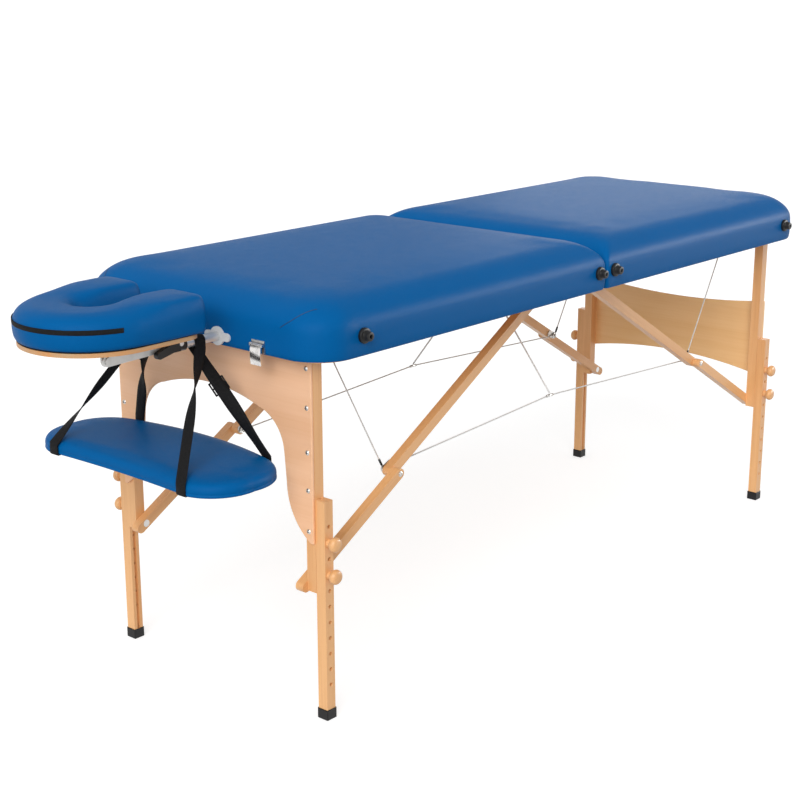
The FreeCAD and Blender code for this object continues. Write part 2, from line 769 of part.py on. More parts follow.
head_screws = [v.panel_top - drop for drop in HEAD_SCREW_DROPS]
node("head_panel", [shape("head_panel_plate", head_panel_solid())])
node("foot_panel", foot_copy("foot_panel", [shape("foot_panel_plate", foot_panel_solid())]))
low_bolt_shank = rod("low_bolt_shank", "pivot_bolt_radius",
                     ("-leg_distance", f"{LOW_BRACE_IN} + bolt_head_height", "brace_leg_z"),
                     "brace_width + lane_gap - bolt_head_height + leg_section / 2", "y")
low_bolt_head = rod("low_bolt_head", "bolt_head_radius",
                    ("-leg_distance", f"{LOW_BRACE_IN} + lane_gap", "brace_leg_z"),
                    "bolt_head_height - lane_gap", "y")
low_bolts = both_sides("low_bolt", fuse("low_bolt", [low_bolt_shank, low_bolt_head]))
node("head_leg_fasteners", screw_heads("head_screw", head_screws) + low_bolts)
node("foot_leg_fasteners", foot_copy("foot_fastener", screw_heads("foot_screw", FOOT_SCREWS) + low_bolts))

# lower legs with rubber caps and turned knobs
LOWER_LEG_X = ("-leg_distance - lower_leg_width / 2", "-leg_distance + lower_leg_width / 2")
lower_stick = block("lower_stick", LOWER_LEG_X, (LOWER_LEG_IN, "leg_outer"), ("cap_floor", "lower_leg_top"))
groove = block("groove", ("-leg_distance - groove_width / 2", "-leg_distance + groove_width / 2"),
               (LOWER_LEG_IN, f"{LOWER_LEG_IN} + groove_depth"), ("cap_floor", "lower_leg_top"))
leg_holes = [
    rod(f"leg_hole_{i}", "hole_radius",
        ("-leg_distance", LOWER_LEG_IN, f"first_hole + {i} * hole_pitch"), "leg_section", "y")
    for i in range(HOLES)]
lower_leg = cut("lower_leg", lower_stick, [groove] + leg_holes)
cap_block = block(
    "cap_block", (f"{LOWER_LEG_X[0]} - cap_wall", f"{LOWER_LEG_X[1]} + cap_wall"),
    (f"{LOWER_LEG_IN} - cap_wall", "leg_outer + cap_wall"), ("0", "cap_height"))
cap_space = block("cap_space", LOWER_LEG_X, (LOWER_LEG_IN, "leg_outer"), ("cap_floor", "cap_height"))
cap = cut("cap", cap_block, [cap_space])


def knob_solid(z):
    """A turned wooden knob with its stud, on the far side's lower leg."""
    seat = v.leg_outer + v.lane_gap
    neck_end = v.knob_length * 0.3
    widest = v.knob_length * 0.62
    rim = v.knob_length * 0.93

    def at(radius, out):
        return Vector(-v.leg_distance + radius, seat + out, z)

    waist = at(v.knob_neck * 0.86, neck_end)
    brow = at(v.knob_radius * 0.74, rim)
    crown = at(v.knob_neck * 0.3, v.knob_length)
    profile = [
        line(at(0, 0), at(v.knob_neck, 0)),
        line(at(v.knob_neck, 0), waist),
        arc(waist, at(v.knob_radius, widest), brow),
        arc(brow, at(v.knob_radius * 0.5, (rim + 2 * v.knob_length) / 3), crown),
        line(crown, at(0, v.knob_length)),
        line(at(0, v.knob_length), at(0, 0)),
    ]
    handle = Part.Face(Part.Wire(profile)).revolve(at(0, 0), ACROSS, 360)
    stud_end = v.leg_outer - v.leg_section + v.groove_depth
    stud = pin_solid(v.hole_radius - v.running_gap, at(0, 0), Vector(-v.leg_distance, stud_end, z))
    return handle.fuse(stud)


lower_set = {"lower_leg": lower_leg, "foot_cap": cap}
for place, hole in KNOB_HOLES.items():
    lower_set[f"{place}_knob"] = shape(f"knob_{place}", knob_solid(v.first_hole + hole * v.hole_pitch))
for end in ("head", "foot"):
    for side_name, side in SIDES.items():
        for what, piece in lower_set.items():
            label = f"{end}_{side_name}_{what}"
            if side < 0:
                piece = flip(label + "_side", piece, ACROSS)
            if end == "foot":
                piece = flip(label + "_end", piece, ALONG)
            node(label, [piece])

# folding braces: in one line while the table stands, doubled back in the tray when folded
leg_joint = Vector(-v.leg_distance, 0, v.brace_leg_z)
root_joint = Vector(-v.brace_root, 0, v.root_z)
open_length = (root_joint - leg_joint).Length
folded_leg_joint = Vector(v.pivot_z - v.brace_leg_z - v.leg_distance, 0, v.pivot_z)
tilt = math.radians(v.brace_fold_tilt)
folded_way = Vector(-math.cos(tilt), 0, math.sin(tilt))
span = root_joint - folded_leg_joint
top_length = (open_length ** 2 - span.Length ** 2) / (2 * (span.dot(folded_way) + open_length))
low_length = open_length - top_length
brace_way = (root_joint - leg_joint).normalize()
brace_square = Vector(-brace_way.z, 0, brace_way.x)
elbow = leg_joint + brace_way * low_length
half_depth = v.brace_depth / 2
low_brace_solid = bar(leg_joint - brace_way * v.brace_tail, elbow, half_depth, half_depth,
                      v.low_brace_in, v.brace_width)
brace_face = leg_joint + ACROSS * v.low_brace_in
for radius, depth in ((v.pivot_bolt_radius, v.brace_width), (v.bolt_head_radius, v.bolt_head_height)):
    low_brace_solid = low_brace_solid.cut(
        pin_solid(radius + v.running_gap, brace_face, brace_face + ACROSS * depth))
top_brace_solid = bar(elbow, root_joint, half_depth, half_depth, v.top_brace_in, v.brace_width)
root_face = root_joint + ACROSS * v.top_brace_in
top_brace_solid = top_brace_solid.cut(
    pin_solid(v.pivot_bolt_radius + v.running_gap, root_face, root_face + ACROSS * v.brace_width))
low_braces = both_sides("low_brace", shape("low_brace", low_brace_solid))
top_braces = both_sides("top_brace", shape("top_brace", top_brace_solid))
node("head_lower_braces", low_braces)
node("foot_lower_braces", foot_copy("foot_lower_braces", low_braces))
node("head_upper_braces", top_braces)
node("foot_upper_braces", foot_copy("foot_upper_braces", top_braces))

# cable hooks on the inner faces of the upper braces, beside the elbow
hook_centre = elbow + brace_square * v.hook_lift
hook_face = v.top_brace_in - v.hook_thick
hook_plate = bar(elbow + brace_way * v.hook_radius * 2, hook_centre, v.hook_radius, v.hook_radius,
                 hook_face, v.hook_thick)
post_radius = v.cable_radius * 1.6
post_end = v.cable_lane - v.cable_radius * 2
hook_post = pin_solid(post_radius, hook_centre + ACROSS * hook_face, hook_centre + ACROSS * post_end)
hooks = both_sides("hook", shape("hook", hook_plate.fuse(hook_post)))
node("head_cable_hooks", hooks)
node("foot_cable_hooks", foot_copy("foot_cable_hooks", hooks))

# stay cables, drawn tight while the table stands open, and the elastic cord that lifts them
eye = hook_centre + ACROSS * v.cable_lane
anchor = Vector(-v.cable_anchor, v.cable_lane, v.deck_z)
crimp_end = Vector(-v.crimp_length, v.cable_lane, v.crimp_z)
crimp_middle = Vector(0, v.cable_lane, v.crimp_z)


def cable_from_hook(name, end):
    """A straight run that starts beside the hook's post."""
    start = eye + (end - eye).normalize() * (post_radius + v.lane_gap)
    return shape(name, pin_solid(v.cable_radius, start, end))


short_runs = both_sides("short_run", cable_from_hook("short_run", anchor - UP * v.lane_gap))
head_runs = both_sides("head_run", cable_from_hook("head_run", crimp_end))
foot_runs = both_sides("foot_run", cable_from_hook("foot_run", crimp_middle - ALONG * v.lane_gap))
crimps = both_sides("crimp", shape("crimp", pin_solid(v.crimp_radius, crimp_end, crimp_middle)))
cord_low = (crimp_end + crimp_middle) / 2 + UP * (v.crimp_radius + v.cord_radius)
cord_high = Vector(cord_low.x, v.cord_radius * 2, v.underside - v.cord_radius)
cords = both_sides("cord", shape("cord", pin_solid(v.cord_radius, cord_low, cord_high)))
node("head_cables", short_runs + head_runs + crimps + cords)
node("foot_cables", foot_copy("foot_cables", short_runs + foot_runs))


# rubber bumpers on the near edge, carrying straps on the far edge
def bumper(name, distance):
    """A tapered rubber bumper."""
    seat = Vector(distance, -v.table_width / 2, v.bumper_z)
    return shape(name, Part.makeCone(v.bumper_base, v.bumper_tip, v.bumper_height, seat, -ACROSS))


def handle_solid():
    """A low arch of webbing with flat ends."""
    side = v.table_width / 2
    half = v.handle_half
    flat = half - v.handle_flat
    thick = v.handle_thick

    def at(x, out):
        return Vector(-v.handle_distance + x, side + out, v.bumper_z - v.handle_band / 2)

    edges = [
        line(at(-half, 0), at(-half, thick)),
        line(at(-half, thick), at(-flat, thick)),
        arc(at(-flat, thick), at(0, v.bumper_height), at(flat, thick)),
        line(at(flat, thick), at(half, thick)),
        line(at(half, thick), at(half, 0)),
        line(at(half, 0), at(flat, 0)),
        arc(at(flat, 0), at(0, v.bumper_height - thick), at(-flat, 0)),
        line(at(-flat, 0), at(-half, 0)),
    ]
    return slab(edges, UP * v.handle_band)


node("head_bumpers", [bumper("bumper_head", -v.head_bumper), bumper("bumper_head_centre", -v.centre_bumper)])
node("foot_bumpers", [bumper("bumper_foot", v.foot_bumper), bumper("bumper_foot_centre", v.centre_bumper)])
handle = shape("handle", handle_solid())
node("head_handle", [handle])
node("foot_handle", foot_copy("foot_handle", [handle]))

# face cradle: flanged bushes, rods, clamps, cross shaft and cam lever
flange_face = Vector(-v.half_length - v.flange_thick, v.rod_y, v.rod_z)
bush_solid = pin_solid(v.flange_radius, flange_face, flange_face + ALONG * v.flange_thick)
for way in (-1, 1):
    ear = flange_face + ACROSS * (way * v.ear_offset)
    bush_solid = bush_solid.fuse(pin_solid(v.ear_radius, ear, ear + ALONG * v.flange_thick))
neck = flange_face - ACROSS * v.ear_offset - UP * v.ear_radius
bush_solid = bush_solid.fuse(Part.makeBox(v.flange_thick, 2 * v.ear_offset, 2 * v.ear_radius, neck))
bush_solid = bush_solid.fuse(pin_solid(v.bush_radius, flange_face, flange_face + ALONG * v.bush_length))
bush_solid = bush_solid.cut(
    pin_solid(v.rod_radius + v.running_gap, flange_face, flange_face + ALONG * v.bush_length))
node("rod_bushes", both_sides("bush", shape("bush", bush_solid)))

shaft_point = Vector(-v.shaft_distance, 0, v.shaft_z)
rivet_point = Vector(-v.rivet_distance, 0, v.rivet_z)
CLAMP_Y = ("rod_y - clamp_width / 2", "rod_y + clamp_width / 2")
cradle_rod = rod("cradle_rod", "rod_radius", ("-shaft_distance", "rod_y", "rod_z"),
                 "shaft_distance - half_length + rod_inside", "x")
rod_cut = rod("rod_cut", "shaft_radius + running_gap", ("-shaft_distance", CLAMP_Y[0], "shaft_z"),
              "clamp_width", "y")
cradle_rods = both_sides("cradle_rod_end", cut("cradle_rod_end", cradle_rod, [rod_cut]))
lever_face = v.arm_out + v.lane_gap
shaft = pin_solid(v.shaft_radius, shaft_point - ACROSS * (lever_face + v.lever_thick),
                  shaft_point + ACROSS * (lever_face + v.arm_thick))
shaft_nut = pin_solid(v.lever_hub, shaft_point + ACROSS * lever_face,
                      shaft_point + ACROSS * (lever_face + v.arm_thick))
node("cradle_rods", cradle_rods + [shape("cross_shaft", shaft.fuse(shaft_nut))])
clamp_pieces = [
    rod("clamp_eye", "clamp_radius", ("-shaft_distance", CLAMP_Y[0], "shaft_z"), "clamp_width", "y"),
    rod("clamp_socket", "socket_radius", ("-shaft_distance", "rod_y", "rod_z"),
        "shaft_distance - clamp_back", "x"),
    block("clamp_web", ("-shaft_distance - clamp_radius", "clamp_radius - shaft_distance"), CLAMP_Y,
          ("rod_z - rod_radius", "shaft_z")),
]
clamp_holes = [
    rod("clamp_rod_hole", "rod_radius", ("-shaft_distance", "rod_y", "rod_z"),
        "shaft_distance - clamp_back", "x"),
    rod("clamp_shaft_hole", "shaft_radius", ("-shaft_distance", CLAMP_Y[0], "shaft_z"),
        "clamp_width", "y"),
]
clamp = cut("clamp", fuse("clamp_solid", clamp_pieces), clamp_holes)
node("cradle_clamps", both_sides("clamp", clamp))


def cam_lever_solid():
    """A moulded cam on the near end of the shaft, with a thumb lever along the arm."""
    droop = math.radians(v.lever_droop)
    tip = shaft_point + Vector(-math.cos(droop), 0, -math.sin(droop)) * v.lever_length
    y = -lever_face - v.lever_thick
    blade = bar(tip, shaft_point, v.lever_tip, v.lever_hub, y, v.lever_thick)
    hole = pin_solid(v.shaft_radius + v.running_gap, shaft_point + ACROSS * y,
                     shaft_point + ACROSS * (y + v.lever_thick))
    return blade.cut(hole)


node("cam_lever", [shape("cam_lever_solid", cam_lever_solid())])

# cradle arms with rivets, hinge plates, base and cushion
arm_solid = bar(rivet_point, shaft_point, v.arm_height / 2, v.arm_height / 2, v.arm_in, v.arm_thick)
arm_solid = arm_solid.cut(pin_solid(v.shaft_radius + v.running_gap, shaft_point + ACROSS * v.arm_in,
                                    shaft_point + ACROSS * v.arm_out))
ear_in = v.arm_in - v.lane_gap - v.arm_thick
rivet = pin_solid(v.rivet_radius, rivet_point + ACROSS * ear_in, rivet_point + ACROSS * v.arm_out)
rivet_head = pin_solid(v.rivet_head, rivet_point + ACROSS * v.arm_out,
                       rivet_point + ACROSS * (v.arm_out + v.screw_height))
node("cradle_arms", both_sides("arm", shape("arm", arm_solid.fuse(rivet).fuse(rivet_head))))
flange_plate = Part.makeBox(v.plate_front - v.plate_back, v.plate_width, v.plate_thick,
                            Vector(-v.plate_front, v.arm_out - v.plate_width, v.base_z - v.plate_thick))
ear_plate = bar(rivet_point, Vector(rivet_point.x, 0, v.base_z - v.plate_thick), v.arm_height / 2,
                v.arm_height / 2, ear_in, v.arm_thick)
ear_trim = Part.makeBox(v.arm_height, v.arm_thick, v.arm_height,
                        Vector(rivet_point.x - v.arm_height / 2, ear_in, v.base_z))
ear_hole = pin_solid(v.rivet_radius + v.running_gap, rivet_point + ACROSS * ear_in,
                     rivet_point + ACROSS * (ear_in + v.arm_thick))
hinge_plate_solid = flange_plate.fuse(ear_plate.cut(ear_trim)).cut(ear_hole)
node("cradle_plates", both_sides("hinge_plate", shape("hinge_plate", hinge_plate_solid)))
base_solid = Part.Face(horseshoe(v.base_inset, v.base_z)).extrude(UP * v.base_thick)
node("cradle_base", [shape("base_board", base_solid)])
soft = v.cushion_thick
CUSHION_STEPS = [
    (0.0, 9.0),
    (soft * 0.12, 2.5),
    (soft * 0.32, 0.0),
    (soft * 0.55, 0.5),
    (soft * 0.76, 6.0),
    (soft * 0.91, 17.0),
    (soft, 34.0),
]
node("cradle_cushion", [shape("face_cushion", padded(horseshoe, v.cushion_z, CUSHION_STEPS))])

# arm shelf: board and pad, hung on webbing loops over the two rods
board = Part.Face(shelf_outline(v.strap_thick, v.shelf_bottom)).extrude(UP * v.board_thick)
node("arm_shelf_board", [shape("shelf_board", board)])
pad_rise = v.shelf_pad_thick
SHELF_STEPS = [
    (0.0, v.strap_thick),
    (pad_rise * 0.3, 0.0),
    (pad_rise * 0.62, 1.5),
    (pad_rise * 0.88, 8.0),
    (pad_rise, 22.0),
]
shelf_pad_z = v.shelf_bottom + v.board_thick
node("arm_shelf_pad", [shape("shelf_pad", padded(shelf_outline, shelf_pad_z, SHELF_STEPS))])


def ribbon(start, start_across, end, end_across):
    """A strip of webbing between two edges, each given by its middle and half its width."""
    sections = []
    for middle, across, thin in ((start, start_across, start_across.cross(UP)),
                                 (end, end_across, end_across.cross(UP))):
        skin = thin.normalize() * (v.strap_thick / 2)
        corners = [middle + across + skin, middle - across + skin, middle - across - skin,
                   middle + across - skin]
        sections.append(Part.makePolygon(corners + corners[:1]))
    return Part.makeLoft(sections, True, True)


def strap_pieces():
    """The far loop: saddle on the rod, two twisted runs with straight ends, and the band below."""
    half = v.strap_width / 2
    inner = v.rod_radius + v.strap_slack
    middle = inner + v.strap_thick / 2
    saddle_start = Vector(-v.strap_x - half, v.rod_y, v.rod_z)
    saddle_end = saddle_start + ALONG * v.strap_width
    saddle = pin_solid(inner + v.strap_thick, saddle_start, saddle_end)
    saddle = saddle.cut(pin_solid(inner, saddle_start, saddle_end))
    above = Part.makeBox(v.strap_width, 4 * middle, 2 * middle, saddle_start - ACROSS * (2 * middle))
    pieces = [saddle.common(above)]
    shelf_top = v.shelf_bottom + v.board_thick + v.shelf_pad_thick * 0.6
    clear = v.strap_slack + v.strap_thick / 2
    front_x = bow_x(-v.shelf_front, -v.shelf_waist, v.shelf_shoulder, v.strap_y + half) - clear
    back_x = bow_x(-v.shelf_back_end, -v.shelf_back, v.shelf_shoulder, v.strap_y - half) + clear
    under = v.shelf_bottom - v.strap_slack
    for edge_x, way in ((front_x, 1), (back_x, -1)):
        hang_low = Vector(-v.strap_x - half, v.rod_y + way * middle - v.strap_thick / 2,
                          v.rod_z - v.strap_drop)
        pieces.append(Part.makeBox(v.strap_width, v.strap_thick, v.strap_drop, hang_low))
        top = Vector(-v.strap_x, v.rod_y + way * middle, v.rod_z - v.strap_drop)
        lip = Vector(edge_x, v.strap_y, shelf_top)
        pieces.append(ribbon(top, ALONG * half, lip, ACROSS * (-way * half)))
        drop_low = Vector(edge_x - v.strap_thick / 2, v.strap_y - half, under)
        pieces.append(Part.makeBox(v.strap_thick, v.strap_width, shelf_top - under, drop_low))
    band_low = Vector(front_x - v.strap_thick / 2, v.strap_y - half, under - v.strap_thick)
    pieces.append(Part.makeBox(back_x - front_x + v.strap_thick, v.strap_width, v.strap_thick, band_low))
    return pieces


straps = []
for i, solid in enumerate(strap_pieces()):
    straps += both_sides(f"strap_{i}", shape(f"strap_{i}", solid))
node("shelf_straps", straps)

doc.recompute()
for piece in doc.Objects:
    if "Invalid" in piece.State or "Error" in piece.State:
        raise RuntimeError(f"{piece.Name} did not build: {piece.State}")
for finished in NODES:
    if finished.Shape.isNull() or not finished.Shape.isValid():
        raise RuntimeError(f"{finished.Label} has no valid shape")
os.makedirs("parts", exist_ok=True)
for finished in NODES:
    finished.Shape.exportStep(f"parts/{finished.Label}.step")
print(len(NODES), "sub-parts,", sum(len(finished.Shape.Solids) for finished in NODES), "solids")
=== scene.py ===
"""Folding massage table: blue vinyl upholstery, beech legs and braces, steel stays, a face
cradle and a hanging arm shelf, dressed around the packed frame of the table.
"""
import json
import math
from contextlib import contextmanager

import bmesh
import bpy
import numpy as np
from bpy.props import FloatProperty, FloatVectorProperty, PointerProperty
from bpy.types import Operator, Panel, PropertyGroup
from mathutils import Matrix, Vector
from mathutils.bvhtree import BVHTree


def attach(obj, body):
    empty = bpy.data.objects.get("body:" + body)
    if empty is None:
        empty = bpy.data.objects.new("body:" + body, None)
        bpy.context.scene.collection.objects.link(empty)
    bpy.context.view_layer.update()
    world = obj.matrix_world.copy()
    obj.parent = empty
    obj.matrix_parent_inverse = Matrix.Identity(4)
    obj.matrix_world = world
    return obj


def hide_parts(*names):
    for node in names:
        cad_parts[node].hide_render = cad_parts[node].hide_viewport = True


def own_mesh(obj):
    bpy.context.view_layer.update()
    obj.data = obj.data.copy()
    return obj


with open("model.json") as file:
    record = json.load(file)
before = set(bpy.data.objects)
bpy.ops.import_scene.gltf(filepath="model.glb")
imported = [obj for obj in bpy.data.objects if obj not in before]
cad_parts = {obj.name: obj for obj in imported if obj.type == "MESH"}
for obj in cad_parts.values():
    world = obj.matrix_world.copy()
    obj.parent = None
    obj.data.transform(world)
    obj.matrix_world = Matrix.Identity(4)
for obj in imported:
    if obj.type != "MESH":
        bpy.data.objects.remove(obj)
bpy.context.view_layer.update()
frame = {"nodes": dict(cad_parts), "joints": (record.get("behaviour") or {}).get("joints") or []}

bl_info = {
    "name": "Folding massage table",
    "version": (1, 0, 0),
    "blender": (4, 5, 0),
    "location": "3D View > Sidebar > Massage table",
    "description": "Builds the upholstery, timber and fittings of a folding massage table",
    "category": "Add Mesh",
}

JOINTS = {joint["name"]: joint for joint in frame["joints"]}
HINGE_X = JOINTS["half_fold"]["pos_m"][0]
ENDS = {"head": -1, "foot": 1}
SIDES = {"near": -1, "far": 1}
UP = Vector((0, 0, 1))
ACROSS = Vector((0, 1, 0))
ALONG = Vector((1, 0, 0))
SQUARE = [(-1, -1), (1, -1), (1, 1), (-1, 1)]


def at(x, y, z):
    """A place measured along from the centre hinge, across from the middle and up from the floor."""
    return Vector((HINGE_X + x, y, z))


# settings


def colour_setting(label, about, default):
    """A colour that can be changed in the panel."""
    return FloatVectorProperty(
        name=label, description=about, subtype="COLOR", min=0, max=1, default=default)


def length_setting(label, about, default):
    """A length in metres that can be changed in the panel."""
    return FloatProperty(name=label, description=about, unit="LENGTH", default=default)


def angle_setting(label, about, degrees):
    """An angle that can be changed in the panel, given in degrees."""
    return FloatProperty(name=label, description=about, subtype="ANGLE", default=math.radians(degrees))


class UpholsterySettings(PropertyGroup):
    """Sizes and colours of the vinyl upholstery."""

    vinyl: colour_setting("Vinyl", "Colour of the vinyl", (0.0004, 0.117, 0.358))
    # The creases of the vinyl's grain are painted in this darker colour as painted shade.
    painted_crease_shade: colour_setting("Painted crease shade", "Colour in the hollows of the grain", (0.0003, 0.074, 0.250))
    # The seams are painted in this darker colour as painted shade of their crease.
    thread: colour_setting("Seam", "Colour of the sewn seams", (0.001, 0.028, 0.105))
    half_length: length_setting("Half length", "Length of one half of the top", 0.92)
    width: length_setting("Width", "Width of the top", 0.70)
    corner_radius: length_setting("Corner radius", "Radius of the outer corners", 0.08)
    crown: length_setting("Crown", "Rise of the padding in the middle of a half", 0.003)
    swell: length_setting("Swell", "Most that the simulated skin may move", 0.005)


class TimberSettings(PropertyGroup):
    """Colours of the beech and the plywood."""

    beech: colour_setting("Beech", "Colour of the beech", (0.90, 0.500, 0.218))
    beech_grain: colour_setting("Beech grain", "Colour of the grain lines of the beech", (0.68, 0.300, 0.100))
    panel: colour_setting("Panel", "Colour of the head panel", (0.98, 0.580, 0.345))
    panel_grain: colour_setting("Panel grain", "Colour of the grain lines of the panel", (0.88, 0.480, 0.250))
    band: colour_setting("Band", "Colour of the plywood band of the foot legs", (0.99, 0.620, 0.285))
    band_grain: colour_setting("Band grain", "Colour of the grain lines of the band", (0.88, 0.495, 0.195))
    board: colour_setting("Board", "Colour of the bare plywood of decks and boards", (0.56, 0.38, 0.21))


class FittingSettings(PropertyGroup):
    """Sizes and colours of webbing, rubber, plastic and metal fittings."""

    webbing: colour_setting("Webbing", "Colour of the straps", (0.004, 0.004, 0.0045))
    rubber: colour_setting("Rubber", "Colour of bumpers and feet", (0.006, 0.006, 0.0065))
    white_plastic: colour_setting("White plastic", "Colour of the rod bushes", (0.80, 0.80, 0.79))
    grey_bar: colour_setting("Grey bar", "Colour of the cradle's arms", (0.60, 0.60, 0.59))
    steel: colour_setting("Steel", "Colour of plated steel", (0.60, 0.595, 0.58))
    elastic: colour_setting("Elastic", "Colour of the elastic cord", (0.95, 0.95, 0.94))
    cable_radius: length_setting("Cable radius", "Radius of a stay cable", 0.0015)
    strap_width: length_setting("Strap width", "Width of the shelf's straps", 0.025)
    strap_thick: length_setting("Strap thickness", "Thickness of the webbing", 0.002)


class StageSettings(PropertyGroup):
    """Camera and floor."""

    camera_place: FloatVectorProperty(
        name="Camera", description="Place of the camera, from the centre hinge on the floor",
        subtype="TRANSLATION", default=(-2.86987, -2.24217, 1.44833))
    yaw: angle_setting("Yaw", "Turn of the view from +Y towards +X", 48.8755)
    pitch: angle_setting("Pitch", "Tilt of the view below level", 15.8533)
    roll: angle_setting("Roll", "Roll of the camera", -0.0928)
    lens: FloatProperty(name="Lens", description="Focal length on a 36 mm sensor", default=69.85)
    floor: colour_setting("Floor", "Colour of the floor", (0.50, 0.50, 0.50))


def upholstery():
    """The upholstery settings of the scene."""
    return bpy.context.scene.massage_upholstery


def timber():
    """The timber settings of the scene."""
    return bpy.context.scene.massage_timber


def fittings():
    """The fitting settings of the scene."""
    return bpy.context.scene.massage_fittings


# shader node groups


SURFACE_OUTPUTS = {
    "Color": "NodeSocketColor",
    "Roughness": "NodeSocketFloat",
    "Height": "NodeSocketFloat",
}


def new_group(name, **inputs):
    """A shader node group that takes coordinates and named values and gives a surface."""
    tree = bpy.data.node_groups.new(name, "ShaderNodeTree")
    sockets = tree.interface
    sockets.new_socket(name="Vector", in_out="INPUT", socket_type="NodeSocketVector")
    for label, default in inputs.items():
        kind = "NodeSocketColor" if isinstance(default, tuple) else "NodeSocketFloat"
        sockets.new_socket(name=label, in_out="INPUT", socket_type=kind).default_value = default
    for label, kind in SURFACE_OUTPUTS.items():
        sockets.new_socket(name=label, in_out="OUTPUT", socket_type=kind)
    return tree, tree.nodes.new("NodeGroupInput").outputs


def close_group(tree, *surface):
    """Lead the colour, the roughness and the height out of a group."""
    end = tree.nodes.new("NodeGroupOutput")
    for label, value in zip(SURFACE_OUTPUTS, surface):
        tree.links.new(value, end.inputs[label])
    return tree


def feed(tree, socket, value):
    """Link a socket to another one, or give it a plain value."""
    if isinstance(value, bpy.types.NodeSocket):
        tree.links.new(value, socket)
    else:
        socket.default_value = value


def math_node(tree, kind, first, second=0.5, clamp=False):
    """One arithmetic step; returns its output socket."""
    step = tree.nodes.new("ShaderNodeMath")
    step.operation = kind
    step.use_clamp = clamp
    feed(tree, step.inputs[0], first)
    feed(tree, step.inputs[1], second)
    return step.outputs[0]


def times(tree, first, second):
    """The product of two values."""
    return math_node(tree, "MULTIPLY", first, second)


def blend_colour(tree, factor, first, second):
    """A mix of two colours; returns the colour socket."""
    mixer = tree.nodes.new("ShaderNodeMix")
    mixer.data_type = "RGBA"
    feed(tree, mixer.inputs[0], factor)
    feed(tree, mixer.inputs[6], first)
    feed(tree, mixer.inputs[7], second)
    return mixer.outputs[2]


def spread(tree, value, low, high, new_low, new_high):
    """A value moved from one range to another; returns the result socket."""
    ranger = tree.nodes.new("ShaderNodeMapRange")
    ranger.interpolation_type = "SMOOTHSTEP"
    feed(tree, ranger.inputs[0], value)
    for slot, number in enumerate((low, high, new_low, new_high), 1):
        ranger.inputs[slot].default_value = number
    return ranger.outputs[0]


def stretched(tree, vector, scale):
    """Coordinates stretched by a scale on each axis."""
    mapping = tree.nodes.new("ShaderNodeMapping")
    feed(tree, mapping.inputs["Vector"], vector)
    mapping.inputs["Scale"].default_value = scale
    return mapping.outputs[0]


def noise(tree, vector, scale, detail=3.0, roughness=0.55):
    """A noise texture; returns its value socket."""
    texture = tree.nodes.new("ShaderNodeTexNoise")
    feed(tree, texture.inputs["Vector"], vector)
    texture.inputs["Scale"].default_value = scale
    texture.inputs["Detail"].default_value = detail
    texture.inputs["Roughness"].default_value = roughness
    return texture.outputs[0]


def cells(tree, vector, scale, feature="F1"):
    """A cell texture; returns its distance socket."""
    texture = tree.nodes.new("ShaderNodeTexVoronoi")
    texture.feature = feature
    feed(tree, texture.inputs["Vector"], vector)
    texture.inputs["Scale"].default_value = scale
    return texture.outputs["Distance"]


def wobbled(tree, vector, scale, reach):
    """Coordinates pushed about by a noise, up to a reach."""
    wobble = tree.nodes.new("ShaderNodeTexNoise")
    feed(tree, wobble.inputs["Vector"], vector)
    wobble.inputs["Scale"].default_value = scale
    shrink = tree.nodes.new("ShaderNodeVectorMath")
    shrink.operation = "SCALE"
    tree.links.new(wobble.outputs["Color"], shrink.inputs[0])
    shrink.inputs["Scale"].default_value = reach
    bent = tree.nodes.new("ShaderNodeVectorMath")
    bent.operation = "ADD"
    feed(tree, bent.inputs[0], vector)
    tree.links.new(shrink.outputs[0], bent.inputs[1])
    return bent.outputs[0]


def wood_grain_group():
    """Straight grain along X: soft streaks, fine lines and the short flecks of beech."""
    tree, given = new_group(
        "Wood grain", Wood=(0.7, 0.5, 0.3, 1), Grain=(0.5, 0.3, 0.15, 1), Streaks=0.5, Flecks=0.5)
    where = given["Vector"]
    wide = noise(tree, stretched(tree, where, (1.2, 22.0, 22.0)), 1.0, 3.0, 0.5)
    fine = noise(tree, stretched(tree, where, (5.0, 210.0, 210.0)), 1.0, 4.0, 0.65)
    pores = cells(tree, stretched(tree, where, (85.0, 900.0, 900.0)), 1.0)
    streak = times(tree, spread(tree, wide, 0.34, 0.68, 0.0, 1.0), given["Streaks"])
    lines = times(tree, spread(tree, fine, 0.42, 0.75, 0.0, 0.6), given["Streaks"])
    fleck = times(tree, spread(tree, pores, 0.05, 0.26, 1.0, 0.0), given["Flecks"])
    shade = math_node(tree, "ADD", streak, lines)
    shade = math_node(tree, "ADD", shade, times(tree, fleck, 0.55), clamp=True)
    colour = blend_colour(tree, shade, given["Wood"], given["Grain"])
    height = math_node(tree, "SUBTRACT", times(tree, fine, 0.4), fleck)
    return close_group(tree, colour, spread(tree, shade, 0.0, 1.0, 0.36, 0.52), height)


